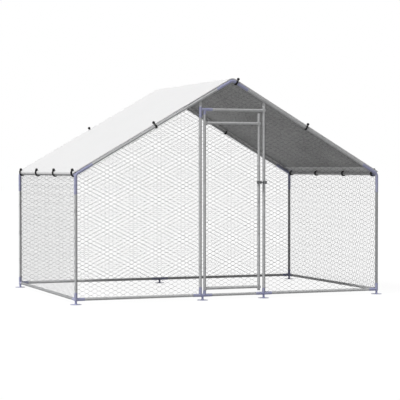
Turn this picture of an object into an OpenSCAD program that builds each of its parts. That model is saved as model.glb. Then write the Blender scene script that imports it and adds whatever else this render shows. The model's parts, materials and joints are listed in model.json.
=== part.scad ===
// Walk-in poultry run: a gabled tube frame with push-fit connectors, hexagonal wire netting,
// a hinged door with a slide bolt in the front gable, and a roof cover held by ball bungees.
// X runs across the gables, Y from the front (door) to the back, Z up. The ground is Z = 0.

/* [Frame] */
// Width between the axes of the corner posts
frame_w = 2975; // [2400:5:4000]
// Depth between the axes of the front and back posts
frame_d = 1975; // [1500:5:3000]
// Height of the base rail axes above the ground
rail_z = 45; // [40:1:60]
// Height of the eave corners, where post and rafter axes meet
eave_z = 1145; // [1000:5:1300]
// Height of the roof peak, where the rafter axes meet
ridge_z = 2000; // [1950:5:2200]
// Outside diameter of every frame tube
tube_d = 25; // [24:0.5:28]
// Wall of the tubes
tube_wall = 1; // [0.8:0.1:1.5]

/* [Connectors] */
// Wall of the connector sockets
socket_wall = 1.35; // [1.2:0.05:2]
// Radial play of a tube in its socket
socket_play = 0.15; // [0.1:0.05:0.3]
// How much smaller in radius a welded branch is than the sleeve that it leaves, and a bend than its legs
branch_step = 0.4; // [0.3:0.1:0.6]
// Thickness of metal between a connector's outer surface and its socket floors
hub_wall = 2; // [1:0.5:4]
// Length of the rail sockets of a base corner, from the post axis
corner_leg = 80; // [60:1:120]
// Height of the post socket of a base corner, above the rail axis
corner_post_leg = 60; // [40:1:100]
// Half length of the base tee at the middle of the back
tee_leg = 92; // [60:1:140]
// Length of each long leg of the eave elbows and peak connectors, from the corner of their axes
elbow_leg = 175; // [120:5:240]
// Length of the socket for an eave tube or the ridge tube
branch_leg = 60; // [45:1:100]
// Radius of the bend in elbows and peak connectors, at the tube axis
bend_r = 40; // [30:1:60]
// Gap between a tube's end and the floor of its socket
end_gap = 0.3; // [0.1:0.1:1]

/* [Feet] */
// Diameter of a foot plate
foot_d = 100; // [80:1:130]
// Thickness of a foot plate
foot_t = 3; // [2:0.5:5]
// Diameter of the stem between a foot plate and its connector
stem_d = 20; // [16:1:24]
// Diameter of the two ground peg holes in a foot plate
peg_hole_d = 9; // [6:0.5:12]
// Distance between the two peg holes
peg_spacing = 70; // [50:1:75]

/* [Doorway] */
// Distance between the axes of the door jambs
doorway_w = 626; // [550:1:800]
// Distance from the hinge jamb's axis to the hinge stile's axis
hinge_gap = 40; // [38:1:60]
// Distance from the latch stile's axis to the latch jamb's axis
latch_gap = 50; // [45:1:60]
// Distance from the rafters down to the header tube, between their axes at the jambs
header_drop = 90; // [90:1:160]
// Length of the rail sockets of the door base connectors on the hinge side
hinge_base_leg = 70; // [50:1:100]
// Length of the rail sockets of the door base connector on the latch side
latch_base_leg = 78; // [50:1:100]
// Height of the hinge jamb's base socket above the rail axis
hinge_jamb_leg = 74; // [50:1:90]
// Height of the latch jamb's base socket above the rail axis
latch_jamb_leg = 50; // [40:1:90]
// Height of the door pivot's lower socket above the rail axis
pivot_leg = 43; // [30:1:44]
// Length of the upper pivot socket below the header sleeve
pivot_drop = 31; // [20:1:50]
// Length of the header socket, from the hinge jamb's axis
header_leg = 114; // [90:1:160]
// Length of the header connector's sleeve below the header's axis
header_sleeve_down = 73; // [40:1:100]
// Length of the header connector's sleeve above the header's axis
header_sleeve_up = 24; // [18:1:24]
// Radial play of the hinge stile in its two sockets
hinge_play = 0.3; // [0.2:0.05:0.5]
// Distance from the rafter's axis down to the bolt of a jamb clamp
clamp_drop = 38; // [36:1:40]
// Width of the jamb clamp's strap
clamp_w = 20; // [14:1:28]
// Thickness of the jamb clamp's strap
clamp_t = 1.5; // [1:0.25:1.5]

/* [Door] */
// Height of the door's bottom rail above the sill
door_rise = 61; // [61:1:150]
// Distance from the header down to the door's top rail
door_drop = 122; // [122:1:200]
// Length of the latch stile below the bottom rail
stile_tail = 33; // [20:1:40]
// Length of the latch stile above the top rail
stile_head = 94; // [20:1:94]
// Clearance that lets the door lift in its upper socket
lift_gap = 1.5; // [1:0.5:4]

/* [Flattened ends and bolts] */
// Width of a flattened tube end
tab_w = 32; // [28:1:32]
// Length of the stretch where a tube changes from round to flat
loft_len = 16; // [12:1:20]
// Distance from the flat's start to its bolt
tab_reach = 10; // [8:1:14]
// Clearance between a flattened end and the tube that it is bolted to
tab_gap = 0.1; // [0.05:0.05:0.3]
// Bolt diameter
bolt_d = 6; // [5:0.5:6]
// Clearance on the diameter of a bolt hole
bolt_play = 0.4; // [0.2:0.1:0.8]
// Width across the flats of bolt heads and nuts
bolt_af = 10; // [8:0.5:11]
// Thickness of a bolt head
head_t = 4; // [3:0.5:5]
// Thickness of a nut
nut_t = 5; // [4:0.5:6]
// Length of thread that shows past a nut
thread_end = 2; // [1:0.5:3]
// Diameter of the drain hole in a closed tube
drain_d = 5; // [4:0.5:6]
// Distance of the drain holes from the ends of the round stretch
drain_inset = 30; // [15:1:60]

/* [Latch] */
// Height of the slide bolt
latch_z = 1068; // [600:1:1300]
// Length of the bolt's case along its travel
case_len = 48; // [46:1:49]
// Length of the keeper's plate
keeper_len = 42; // [36:1:50]
// Length of the keeper's barrel
keeper_barrel = 26; // [20:1:34]
// Height of both plates
plate_h = 28; // [27:1:40]
// Thickness of both plates
plate_t = 2; // [1.5:0.5:3]
// Diameter of the sliding bolt
slide_d = 10; // [8:0.5:10]
// Travel of the sliding bolt
slide_travel = 30; // [20:1:30]
// Radial play of the sliding bolt
slide_play = 0.3; // [0.2:0.1:0.5]
// Wall of the barrels
barrel_wall = 2; // [1.5:0.25:2.25]
// Gap between the case or the withdrawn bolt and what stands next to it
latch_clear = 2; // [1.5:0.5:4]
// Length of the bolt behind its handle
bolt_tail = 2; // [1:0.5:4]
// Diameter of the bolt's handle
handle_d = 6; // [5:0.5:7]
// Length of the bolt's handle from the bolt's axis
handle_len = 16; // [12:1:18]
// Diameter of the knob on the handle
knob_d = 11; // [8:0.5:12]
// Diameter of the latch screws
screw_d = 3.5; // [3:0.5:4]
// Diameter of the latch screw heads
screw_head_d = 6; // [5:0.5:6]
// Thickness of the latch screw heads
screw_head_t = 2; // [1.5:0.5:3]
// Length of the latch screws under the head
screw_len = 8; // [6:1:12]

/* [Netting] */
// Height of one mesh of the netting, from twist to twist
mesh_h = 140; // [120:1:200]
// Length of the twisted, level side of a mesh
twist_len = 94; // [80:1:130]
// Sideways run of the slanting sides of a mesh
mesh_slant = 43; // [30:1:60]
// Width of a strand
strand_w = 2.4; // [2:0.1:5]
// Width of the netting's edge strand
selvedge_w = 3; // [2:0.5:6]
// Thickness of the netting
net_t = 1.6; // [1:0.1:3]
// Clearance between the netting and what it is tied to
net_gap = 0.3; // [0.2:0.1:1]

/* [Roof cover] */
// Thickness of the cover
cover_t = 1.2; // [0.8:0.1:2]
// Clearance between the cover and the connectors that carry it
cover_gap = 0.3; // [0.2:0.1:1]
// How far the cover reaches past the axes of the rafters and eave tubes
cover_over = 7; // [4:0.5:7]
// Thickness of the hem rolled under the cover's edges, with the cover itself
hem_t = 10; // [6:0.5:12]
// Width of the rolled hem
hem_w = 8; // [6:0.5:8]
// Bore of an eyelet
eyelet_bore = 11; // [10.5:0.5:11.5]
// Outside diameter of an eyelet's flanges
eyelet_d = 16; // [15:0.5:16.5]
// Thickness of an eyelet's sheet metal
eyelet_t = 0.6; // [0.4:0.1:0.8]

/* [Bungees] */
// Diameter of a bungee's ball
ball_d = 25; // [22:1:26]
// Diameter of a bungee's cord
cord_d = 5; // [4:0.2:5]
// Gap between a bungee and what it holds
bungee_gap = 0.3; // [0.2:0.1:0.5]
// Bungees along each eave
eave_bungees = 4; // [2:1:6]
// Distance of the outer eave bungees from the ends of the eave sockets
eave_bungee_inset = 12; // [8:1:40]
// Distance of the peak bungees from the peak, down the right-hand slope
peak_bungee_at = 45; // [40:1:150]

/* [Hidden] */
$fn = 48;

// Colours of the finishes
zinc_tube = [0.64, 0.65, 0.66];
blue_zinc = [0.66, 0.67, 0.80];
net_wire = [0.60, 0.61, 0.62];
white_sheet = [0.93, 0.93, 0.93];
black_rubber = [0.08, 0.08, 0.08];
dark_steel = [0.36, 0.37, 0.38];

// Overlap that keeps cuts clear of coincident faces
eps = 1;

// Length that a socket leg laps over its bend
leg_lap = 3;

// Distance of the upper pivot socket's roof below the header sleeve
pivot_roof = 1;

// Play of an eyelet in the cover
eyelet_play = 0.1;

// Flats that make up the cover's fold over the ridge
fold_steps = 12;

// Share of a mesh's height by which its middle may lie outside the netting's edge
border_share = 0.42;

// Length and step in radius by which a bungee's strands lap over the arc of its cord
strand_lap = 1.5;
strand_step = 0.2;

// Radii that the frame and its connectors share
tube_r = tube_d / 2;
bore_r = tube_r + socket_play;
sleeve_r = bore_r + socket_wall;
branch_r = sleeve_r - branch_step;
hub_r = sleeve_r + hub_wall;
pivot_bore_r = tube_r + hinge_play;

// Places of the frame's axes
post_x = frame_w / 2;
post_y = frame_d / 2;
pitch = atan2(ridge_z - eave_z, post_x);
slope_len = (ridge_z - eave_z) / sin(pitch);

// Bends: the angle between the legs, where the straight legs start, and how far the bend cuts the corner
eave_angle = 90 + pitch;
peak_angle = 180 - 2 * pitch;
eave_tangent = bend_r / tan(eave_angle / 2);
peak_tangent = bend_r / tan(peak_angle / 2);
eave_cut = bend_r / sin(eave_angle / 2) - bend_r;
peak_cut = bend_r / sin(peak_angle / 2) - bend_r;

// The eave tubes and the ridge tube run through the middle of the bends
eave_mid = (pitch - 90) / 2;
eave_tube_x = post_x - eave_cut * cos(eave_mid);
eave_tube_z = eave_z + eave_cut * sin(eave_mid);
ridge_tube_z = ridge_z - peak_cut;

// Doorway and door
jamb_x = doorway_w / 2;
hinge_x = -jamb_x + hinge_gap;
latch_x = jamb_x - latch_gap;
hinge_foot_x = -jamb_x + hinge_gap / 2;
rafter_z_at_jamb = ridge_z - jamb_x * tan(pitch);
clamp_bolt_z = rafter_z_at_jamb - clamp_drop;
header_z = rafter_z_at_jamb - header_drop;
door_low_z = rail_z + door_rise;
door_high_z = header_z - door_drop;
pivot_roof_z = header_z - sleeve_r - pivot_roof;
pivot_low_z = rail_z + hub_r;

// Flattened ends lie against the front of the tubes that they are bolted to
tab_t = 2 * tube_wall;
tab_y = -(tube_r + tab_gap + tab_t / 2);
flat_len = tab_reach + loft_len;

// Latch: the bolt slides in front of the stile, and its tip stops short of the keeper when withdrawn
plate_y = -(tube_r + tab_gap);
barrel_bore_r = slide_d / 2 + slide_play;
barrel_r = barrel_bore_r + barrel_wall;
slide_y = plate_y - plate_t - barrel_bore_r - barrel_wall / 2;
case_x = latch_x - case_len / 2;
keeper_x = jamb_x - tube_r - latch_clear;
slide_tip_x = keeper_x - latch_clear;
slide_tail_x = case_x + latch_clear;
handle_x = slide_tail_x + bolt_tail + handle_d / 2;
screw_z = (plate_h / 2 + barrel_r) / 2;

// Bungees: the cord runs round its tube, up past the cover and into the sides of the ball
cord_r = cord_d / 2;
ball_r = ball_d / 2;
ball_grip = 0.6;
hem_low = sleeve_r + cover_gap;
cover_low = hem_low + hem_t - cover_t;
eave_cover_low = cover_low + (post_x - eave_tube_x) * sin(pitch) + (eave_z - eave_tube_z) * cos(pitch);
eyelet_hole_r = eyelet_bore / 2 + eyelet_t + eyelet_play;
eave_bungee_y = post_y - branch_leg - eave_bungee_inset;
peak_wrap_r = sleeve_r + bungee_gap + cord_r;
tube_wrap_r = tube_r + bungee_gap + cord_r;

// Netting stays clear of sleeves, of the flattened jamb ends and of the bungee cords
net_side = sleeve_r + net_gap;
net_jamb = tab_w / 2 + net_gap;
net_top = peak_wrap_r + cord_r + net_gap;
net_eave = tube_wrap_r + cord_r + net_gap;
net_stile = tube_r + net_gap;
bend_chamfer = (bend_r - sleeve_r) / tan(eave_angle / 2) + net_gap;

// Straight round bar between two points
module rod(a, b, r) {
    v = b - a;
    translate(a)
        rotate([0, acos(v.z / norm(v)), atan2(v.y, v.x)])
            cylinder(r = r, h = norm(v));
}

// The same bar, made longer at its far end
module long_rod(a, b, r) {
    v = b - a;
    rod(a, b + v * eps / norm(v), r);
}

// Open tube between two points
module tube(a, b) {
    v = (b - a) * eps / norm(b - a);
    difference() {
        rod(a, b, tube_r);
        rod(a - v, b + v, tube_r - tube_wall);
    }
}

// Point at a distance along a direction in the XZ plane
function polar_xz(len, angle) = [len * cos(angle), 0, len * sin(angle)];

// Arc of a round bar in the XZ plane, about the origin
module arc_bar(path_r, bar_r, from, to) {
    rotate([90, 0, 0])
        rotate([0, 0, from])
            rotate_extrude(angle = to - from)
                translate([path_r, 0])
                    circle(r = bar_r);
}

// Bent connector in the XZ plane: a bend between two long sockets whose axes meet at the origin,
// and a branch socket square to them, towards +Y
module bent_connector(from, to, start, cut) {
    mid = (from + to) / 2;
    half = (to - from) / 2;
    middle = polar_xz(cut, mid);
    difference() {
        union() {
            translate(polar_xz(bend_r / sin(half), mid))
                arc_bar(bend_r, branch_r, to + 90, from + 270);
            for (angle = [from, to])
                rod(polar_xz(start - leg_lap, angle), polar_xz(elbow_leg, angle), sleeve_r);
            rod(middle + [0, sleeve_r / 2, 0], middle + [0, branch_leg, 0], sleeve_r);
        }
        for (angle = [from, to])
            long_rod(polar_xz(start, angle), polar_xz(elbow_leg, angle), bore_r);
        long_rod(middle + [0, hub_r, 0], middle + [0, branch_leg, 0], bore_r);
    }
}

// Foot: a round plate with two peg holes, and a stem up to the rail axis
module foot() {
    difference() {
        cylinder(d = foot_d, h = foot_t);
        for (side = [-1, 1])
            translate([side * peg_spacing / 2, 0, -eps])
                cylinder(d = peg_hole_d, h = foot_t + 2 * eps);
    }
    cylinder(d = stem_d, h = rail_z);
}

// Base corner for the front left: a post socket and two rail sockets towards +X and +Y
module base_corner() {
    hub = [0, 0, rail_z];
    post_end = hub + [0, 0, corner_post_leg];
    difference() {
        union() {
            foot();
            rod(hub - [0, 0, sleeve_r], post_end, sleeve_r);
            rod(hub, hub + [corner_leg, 0, 0], branch_r);
            rod(hub, hub + [0, corner_leg, 0], branch_r);
        }
        long_rod(hub + [0, 0, hub_r], post_end, bore_r);
        long_rod(hub + [hub_r, 0, 0], hub + [corner_leg, 0, 0], bore_r);
        long_rod(hub + [0, hub_r, 0], hub + [0, corner_leg, 0], bore_r);
    }
}

// Places a front-left piece at one of the four corners of the plan
module at_corner(x, y) {
    translate([x * post_x, y * post_y, 0])
        mirror([x > 0 ? 1 : 0, 0, 0])
            mirror([0, y > 0 ? 1 : 0, 0])
                children();
}

module base_corner_at(x, y) {
    color(blue_zinc)
        at_corner(x, y)
            base_corner();
}

module base_tee_back() {
    hub = [0, post_y, rail_z];
    color(blue_zinc)
        difference() {
            union() {
                translate([0, post_y, 0])
                    foot();
                rod(hub - [tee_leg, 0, 0], hub + [tee_leg, 0, 0], sleeve_r);
            }
            for (side = [-1, 1])
                long_rod(hub + [side * hub_r, 0, 0], hub + [side * tee_leg, 0, 0], bore_r);
        }
}

// Base connector under the hinge side: two rail sockets, the jamb's socket and the door's pivot socket
module hinge_base_connector() {
    jamb = [-jamb_x, -post_y, rail_z];
    pivot = [hinge_x, -post_y, rail_z];
    left = jamb - [hinge_base_leg, 0, 0];
    right = pivot + [hinge_base_leg, 0, 0];
    color(blue_zinc)
        difference() {
            union() {
                translate([hinge_foot_x, -post_y, 0])
                    foot();
                rod(left, right, sleeve_r);
                rod(jamb, jamb + [0, 0, hinge_jamb_leg], branch_r);
                rod(pivot, pivot + [0, 0, pivot_leg], branch_r);
            }
            long_rod(jamb - [hub_r, 0, 0], left, bore_r);
            long_rod(pivot + [hub_r, 0, 0], right, bore_r);
            long_rod(jamb + [0, 0, hub_r], jamb + [0, 0, hinge_jamb_leg], bore_r);
            long_rod(pivot + [0, 0, hub_r], pivot + [0, 0, pivot_leg], pivot_bore_r);
        }
}

module latch_base_connector() {
    hub = [jamb_x, -post_y, rail_z];
    color(blue_zinc)
        difference() {
            union() {
                translate([jamb_x, -post_y, 0])
                    foot();
                rod(hub - [latch_base_leg, 0, 0], hub + [latch_base_leg, 0, 0], sleeve_r);
                rod(hub, hub + [0, 0, latch_jamb_leg], branch_r);
            }
            for (side = [-1, 1])
                long_rod(hub + [side * hub_r, 0, 0], hub + [side * latch_base_leg, 0, 0], bore_r);
            long_rod(hub + [0, 0, hub_r], hub + [0, 0, latch_jamb_leg], bore_r);
        }
}

// Base rail along X between two socket hubs
module rail_x(from, to, y) {
    inset = hub_r + end_gap;
    color(zinc_tube)
        tube([from + inset, y, rail_z], [to - inset, y, rail_z]);
}

// Base rail along Y between a front and a back corner
module rail_y(x) {
    end = post_y - hub_r - end_gap;
    color(zinc_tube)
        tube([x, -end, rail_z], [x, end, rail_z]);
}

module post_at(x, y) {
    foot_end = rail_z + hub_r + end_gap;
    head_end = eave_z - eave_tangent - end_gap;
    color(zinc_tube)
        tube([x * post_x, y * post_y, foot_end], [x * post_x, y * post_y, head_end]);
}

module eave_elbow_at(x, y) {
    color(blue_zinc)
        at_corner(x, y)
            translate([0, 0, eave_z])
                bent_connector(-90, pitch, eave_tangent, eave_cut);
}

module eave_tube_at(x) {
    end = post_y - hub_r - end_gap;
    color(zinc_tube)
        tube([x * eave_tube_x, -end, eave_tube_z], [x * eave_tube_x, end, eave_tube_z]);
}

module rafter_at(x, y) {
    low = eave_tangent + end_gap;
    high = slope_len - peak_tangent - end_gap;
    color(zinc_tube)
        at_corner(x, y)
            translate([0, 0, eave_z])
                tube(polar_xz(low, pitch), polar_xz(high, pitch));
}

module peak_connector_at(y) {
    color(blue_zinc)
        translate([0, y * post_y, ridge_z])
            mirror([0, y > 0 ? 1 : 0, 0])
                bent_connector(180 + pitch, 360 - pitch, peak_tangent, peak_cut);
}

module ridge_tube() {
    end = post_y - hub_r - end_gap;
    color(zinc_tube)
        tube([0, -end, ridge_tube_z], [0, end, ridge_tube_z]);
}

// Hole for a bolt along Y
module bolt_hole(x, z, y_from, y_to) {
    rod([x, y_from, z], [x, y_to, z], (bolt_d + bolt_play) / 2);
}

// Flattened end with a round tip, in the XZ plane: its bolt is at the origin and its tube comes from -X
module flat_tab() {
    rotate([90, 0, 0])
        translate([0, 0, -tab_t / 2])
            cylinder(d = tab_w, h = tab_t);
    translate([-tab_reach, -tab_t / 2, -tab_w / 2])
        cube([tab_reach, tab_t, tab_w]);
}

// Stretch where a tube along +X becomes flat, from the round end at the origin, with the flat set off in Y
module flat_loft(offset_y) {
    slice = 0.2;
    hull() {
        rotate([0, 90, 0])
            cylinder(r = tube_r, h = slice, $fn = 32);
        translate([loft_len - slice, offset_y - tab_t / 2, -tab_w / 2])
            cube([slice, tab_t, tab_w]);
    }
}

// Flattened tube end towards +X, with its bolt at the origin
module flat_end(offset_y) {
    difference() {
        union() {
            translate([-flat_len, 0, 0])
                flat_loft(offset_y);
            translate([0, offset_y, 0])
                flat_tab();
        }
        bolt_hole(0, 0, -tube_d, tube_d);
    }
}

// Jamb: a tube from its base socket to a flattened head in the clamp on the rafter
module jamb(x, z_low) {
    shoulder = clamp_bolt_z - flat_len;
    translate([x, -post_y, 0]) {
        translate([0, 0, clamp_bolt_z])
            rotate([0, -90, 0])
                flat_end(0);
        tube([0, 0, z_low], [0, 0, shoulder]);
    }
}

module hinge_jamb() {
    color(zinc_tube)
        jamb(-jamb_x, rail_z + hub_r + end_gap);
}

module latch_jamb() {
    color(zinc_tube)
        difference() {
            jamb(jamb_x, rail_z + hub_r + end_gap);
            bolt_hole(jamb_x, header_z, -post_y - tube_d, -post_y + tube_d);
            latch_screw_holes(jamb_x);
        }
}

// Strap clamp round a front rafter, with two ears that hold the flattened head of a jamb
module jamb_clamp(side) {
    ear_in = tab_t / 2 + tab_gap;
    ear_out = ear_in + clamp_t;
    axis = polar_xz(clamp_w / 2, -side * pitch);
    ear_low = -clamp_drop - tab_reach;
    translate([side * jamb_x, -post_y, rafter_z_at_jamb])
        difference() {
            union() {
                rod(-axis, axis, bore_r + clamp_t);
                translate([-clamp_w / 2, -ear_out, ear_low])
                    cube([clamp_w, 2 * ear_out, -ear_low]);
            }
            rod(-2 * axis, 2 * axis, bore_r);
            translate([-clamp_w, -ear_in, 2 * ear_low])
                cube([2 * clamp_w, 2 * ear_in, -2 * ear_low]);
            bolt_hole(0, -clamp_drop, -tube_d, tube_d);
        }
}

module jamb_clamps() {
    color(zinc_tube)
        for (side = [-1, 1])
            jamb_clamp(side);
}

module header_tube() {
    start = -jamb_x + hub_r + end_gap;
    shoulder = jamb_x - flat_len;
    color(zinc_tube)
        translate([0, -post_y, header_z]) {
            tube([start, 0, 0], [shoulder, 0, 0]);
            translate([jamb_x, 0, 0])
                flat_end(tab_y);
        }
}

// Connector on the hinge jamb: the jamb's sleeve, the header's socket and the door's upper pivot socket
module header_connector() {
    jamb = [-jamb_x, -post_y, header_z];
    low = jamb - [0, 0, header_sleeve_down];
    high = jamb + [0, 0, header_sleeve_up];
    end = jamb + [header_leg, 0, 0];
    pivot = [hinge_x, -post_y, header_z];
    pivot_end = pivot - [0, 0, sleeve_r + pivot_drop];
    color(blue_zinc)
        difference() {
            union() {
                rod(low, high, sleeve_r);
                rod(jamb, end, branch_r);
                rod(pivot, pivot_end, branch_r);
            }
            rod(low - [0, 0, eps], high + [0, 0, eps], bore_r);
            long_rod(jamb + [hub_r, 0, 0], end, bore_r);
            long_rod([hinge_x, -post_y, pivot_roof_z], pivot_end, pivot_bore_r);
        }
}

// Bolt along Y with its head at the front, and its nut at the back
module bolt_and_nut(x, z, front, back) {
    hex_r = bolt_af / 2 / cos(30);
    translate([x, -post_y, z]) {
        rod([0, front, 0], [0, back + tab_gap + nut_t + thread_end, 0], bolt_d / 2);
        translate([0, front, 0])
            rotate([90, 0, 0])
                cylinder(r = hex_r, h = head_t, $fn = 6);
        difference() {
            translate([0, back + tab_gap, 0])
                rotate([-90, 0, 0])
                    cylinder(r = hex_r, h = nut_t, $fn = 6);
            rod([0, back, 0], [0, back + nut_t + eps, 0], bolt_d / 2 + tab_gap);
        }
    }
}

module frame_bolts() {
    ear_out = tab_t / 2 + tab_gap + clamp_t;
    color(zinc_tube) {
        bolt_and_nut(jamb_x, header_z, tab_y - tab_t / 2, tube_r);
        for (side = [-1, 1])
            bolt_and_nut(side * jamb_x, clamp_bolt_z, -ear_out, ear_out);
    }
}

// Door stile with the bolt holes of both rails
module stile(x, low, high) {
    difference() {
        tube([x, -post_y, low], [x, -post_y, high]);
        for (z = [door_low_z, door_high_z])
            bolt_hole(x, z, -post_y - tube_d, -post_y + tube_d);
    }
}

module hinge_stile() {
    color(zinc_tube)
        stile(hinge_x, pivot_low_z + end_gap, pivot_roof_z - lift_gap);
}

module latch_stile() {
    color(zinc_tube)
        difference() {
            stile(latch_x, door_low_z - stile_tail, door_high_z + stile_head);
            latch_screw_holes(latch_x);
        }
}

// Door rail: a tube with both ends flattened in front of the stiles, and drain holes in its underside
module door_rail(z) {
    from = hinge_x + flat_len;
    to = latch_x - flat_len;
    color(zinc_tube)
        translate([0, -post_y, z])
            difference() {
                union() {
                    rod([from, 0, 0], [to, 0, 0], tube_r);
                    translate([latch_x, 0, 0])
                        flat_end(tab_y);
                    translate([hinge_x, 0, 0])
                        mirror([1, 0, 0])
                            flat_end(tab_y);
                }
                rod([from + eps, 0, 0], [to - eps, 0, 0], tube_r - tube_wall);
                for (x = [from + drain_inset, to - drain_inset])
                    rod([x, 0, 0], [x, 0, -tube_d], drain_d / 2);
            }
}

module door_bolts() {
    color(zinc_tube)
        for (x = [hinge_x, latch_x])
            for (z = [door_low_z, door_high_z])
                bolt_and_nut(x, z, tab_y - tab_t / 2, tube_r);
}

// Pilot holes for the two screws of a latch plate, in the front wall of a tube
module latch_screw_holes(x) {
    for (side = [-1, 1])
        rod(
            [x, -post_y - tube_d, latch_z + side * screw_z],
            [x, -post_y, latch_z + side * screw_z],
            screw_d / 2 + tab_gap
        );
}

// Plate with a D-shaped barrel along X, with its back against a tube's front
module barrel_plate(from, len, barrel_len, screw_x) {
    difference() {
        union() {
            translate([from, plate_y - plate_t, -plate_h / 2])
                cube([len, plate_t, plate_h]);
            rod([from, slide_y, 0], [from + barrel_len, slide_y, 0], barrel_r);
            translate([from, slide_y, -barrel_r])
                cube([barrel_len, plate_y - plate_t / 2 - slide_y, 2 * barrel_r]);
        }
        rod([from - eps, slide_y, 0], [from + barrel_len + eps, slide_y, 0], barrel_bore_r);
        for (side = [-1, 1])
            rod(
                [screw_x, plate_y - 2 * plate_t, side * screw_z],
                [screw_x, 0, side * screw_z],
                screw_d / 2 + tab_gap
            );
    }
}

module latch_case() {
    slot_w = handle_d + 2 * slide_play;
    color(dark_steel)
        translate([0, -post_y, latch_z])
            difference() {
                barrel_plate(case_x, case_len, case_len, latch_x);
                translate([handle_x - slot_w / 2, slide_y - 2 * barrel_r, -slot_w / 2])
                    cube([slide_travel + slot_w, 2 * barrel_r, slot_w]);
            }
}

module latch_keeper() {
    color(dark_steel)
        translate([0, -post_y, latch_z])
            barrel_plate(keeper_x, keeper_len, keeper_barrel, jamb_x);
}

// Two pan-head screws that hold a latch plate on its tube
module plate_screws(x) {
    head_y = plate_y - plate_t;
    translate([x, -post_y, latch_z])
        for (side = [-1, 1]) {
            rod([0, head_y, side * screw_z], [0, head_y + screw_len, side * screw_z], screw_d / 2);
            rod([0, head_y, side * screw_z], [0, head_y - screw_head_t, side * screw_z], screw_head_d / 2);
        }
}

module keeper_screws() {
    color(zinc_tube)
        plate_screws(jamb_x);
}

module latch_screws() {
    color(zinc_tube)
        plate_screws(latch_x);
}

module latch_bolt() {
    grip = [handle_x, slide_y - handle_len, 0];
    color(dark_steel)
        translate([0, -post_y, latch_z]) {
            rod([slide_tail_x, slide_y, 0], [slide_tip_x, slide_y, 0], slide_d / 2);
            rod([handle_x, slide_y, 0], grip, handle_d / 2);
            translate(grip)
                rotate([90, 0, 0])
                    sphere(d = knob_d);
        }
}

// Signed distance of a point to the left of the line through two corners
function left_of(a, b, p) = cross(b - a, p - a) / norm(b - a);

// Shortest signed distance of a point inside a convex outline, given anticlockwise
function depth_in(outline, p) =
    let (n = len(outline))
    min([for (i = [0 : n - 1]) left_of(outline[i], outline[(i + 1) % n], p)]);

// Corner of a convex outline whose two sides are moved inwards
function moved_corner(before, at, after, d) =
    let (
        u = (at - before) / norm(at - before),
        v = (after - at) / norm(after - at),
        turn = cross(u, v)
    )
    at + (v - u) * d / turn;

function inset(outline, d) =
    let (n = len(outline))
    [for (i = [0 : n - 1]) moved_corner(outline[(i + n - 1) % n], outline[i], outline[(i + 1) % n], d)];

// Opening of one mesh: a flat-topped hexagon inside the strands
module mesh_opening() {
    half_h = mesh_h / 2;
    half_strand = strand_w / 2;
    side = norm([half_h, mesh_slant]);
    tip = twist_len / 2 + mesh_slant - half_strand * side / half_h;
    top = half_h - half_strand;
    shoulder = tip - mesh_slant * top / half_h;
    polygon([[tip, 0], [shoulder, top], [-shoulder, top], [-tip, 0], [-shoulder, -top], [shoulder, -top]]);
}

// Flat netting inside a convex outline in the XY plane, with an edge strand all round
module netting(outline) {
    inner = inset(outline, selvedge_w);
    xs = [for (p = inner) p.x];
    ys = [for (p = inner) p.y];
    column = twist_len + mesh_slant;
    columns = ceil((max(xs) - min(xs)) / column) + 1;
    rows = ceil((max(ys) - min(ys)) / mesh_h) + 1;
    middle = [(max(xs) + min(xs)) / 2, (max(ys) + min(ys)) / 2];
    centres = [
        for (i = [-floor(columns / 2) : floor(columns / 2)])
            for (j = [-floor(rows / 2) : floor(rows / 2)])
                middle + [i * column, (j + (i % 2 == 0 ? 0 : 0.5)) * mesh_h]
    ];
    translate([0, 0, -net_t / 2])
        linear_extrude(height = net_t)
            difference() {
                polygon(outline);
                intersection() {
                    polygon(inner);
                    union()
                        for (c = centres)
                            if (depth_in(inner, c) > -border_share * mesh_h)
                                translate(c)
                                    mesh_opening();
                }
            }
}

// Stands a netting that is drawn in plan as X and Z upright, in the plane of the front or the back
module upright(y) {
    translate([0, y, 0])
        rotate([90, 0, 0])
            children();
}

// Height of the netting's upper edge under the rafters at a distance from the middle
function under_rafter(x) = ridge_z - abs(x) * tan(pitch) - net_top / cos(pitch);

module wall_net_back() {
    side = post_x - net_side;
    low = rail_z + net_side;
    peak = bend_chamfer * cos(pitch);
    eave = bend_chamfer;
    color(net_wire)
        upright(post_y)
            netting([
                [-side, low],
                [side, low],
                [side, under_rafter(side) - eave],
                [side - eave, under_rafter(side - eave)],
                [peak, under_rafter(peak)],
                [-peak, under_rafter(peak)],
                [eave - side, under_rafter(side - eave)],
                [-side, under_rafter(side) - eave]
            ]);
}

// Front netting between a corner post and a jamb, drawn for the right-hand side
module wall_net_front(side) {
    outer = post_x - net_side;
    inner = jamb_x + net_jamb;
    low = rail_z + net_side;
    eave = bend_chamfer;
    color(net_wire)
        upright(-post_y)
            mirror([side < 0 ? 1 : 0, 0, 0])
                netting([
                    [inner, low],
                    [outer, low],
                    [outer, under_rafter(outer) - eave],
                    [outer - eave, under_rafter(outer - eave)],
                    [inner, under_rafter(inner)]
                ]);
}

module gable_net() {
    side = jamb_x - net_jamb;
    low = header_z + net_side;
    peak = bend_chamfer * cos(pitch);
    color(net_wire)
        upright(-post_y)
            netting([
                [-side, low],
                [side, low],
                [side, under_rafter(side)],
                [peak, under_rafter(peak)],
                [-peak, under_rafter(peak)],
                [-side, under_rafter(side)]
            ]);
}

module wall_net_side(side) {
    end = post_y - net_side;
    low = rail_z + net_side;
    high = eave_tube_z - net_eave;
    color(net_wire)
        translate([side * post_x, 0, 0])
            rotate([90, 0, 90])
                netting([[-end, low], [end, low], [end, high], [-end, high]]);
}

module door_net() {
    left = hinge_x + net_stile;
    right = latch_x - net_stile;
    low = door_low_z + net_side;
    high = door_high_z - net_side;
    color(net_wire)
        upright(-post_y)
            netting([[left, low], [right, low], [right, high], [left, high]]);
}

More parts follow.
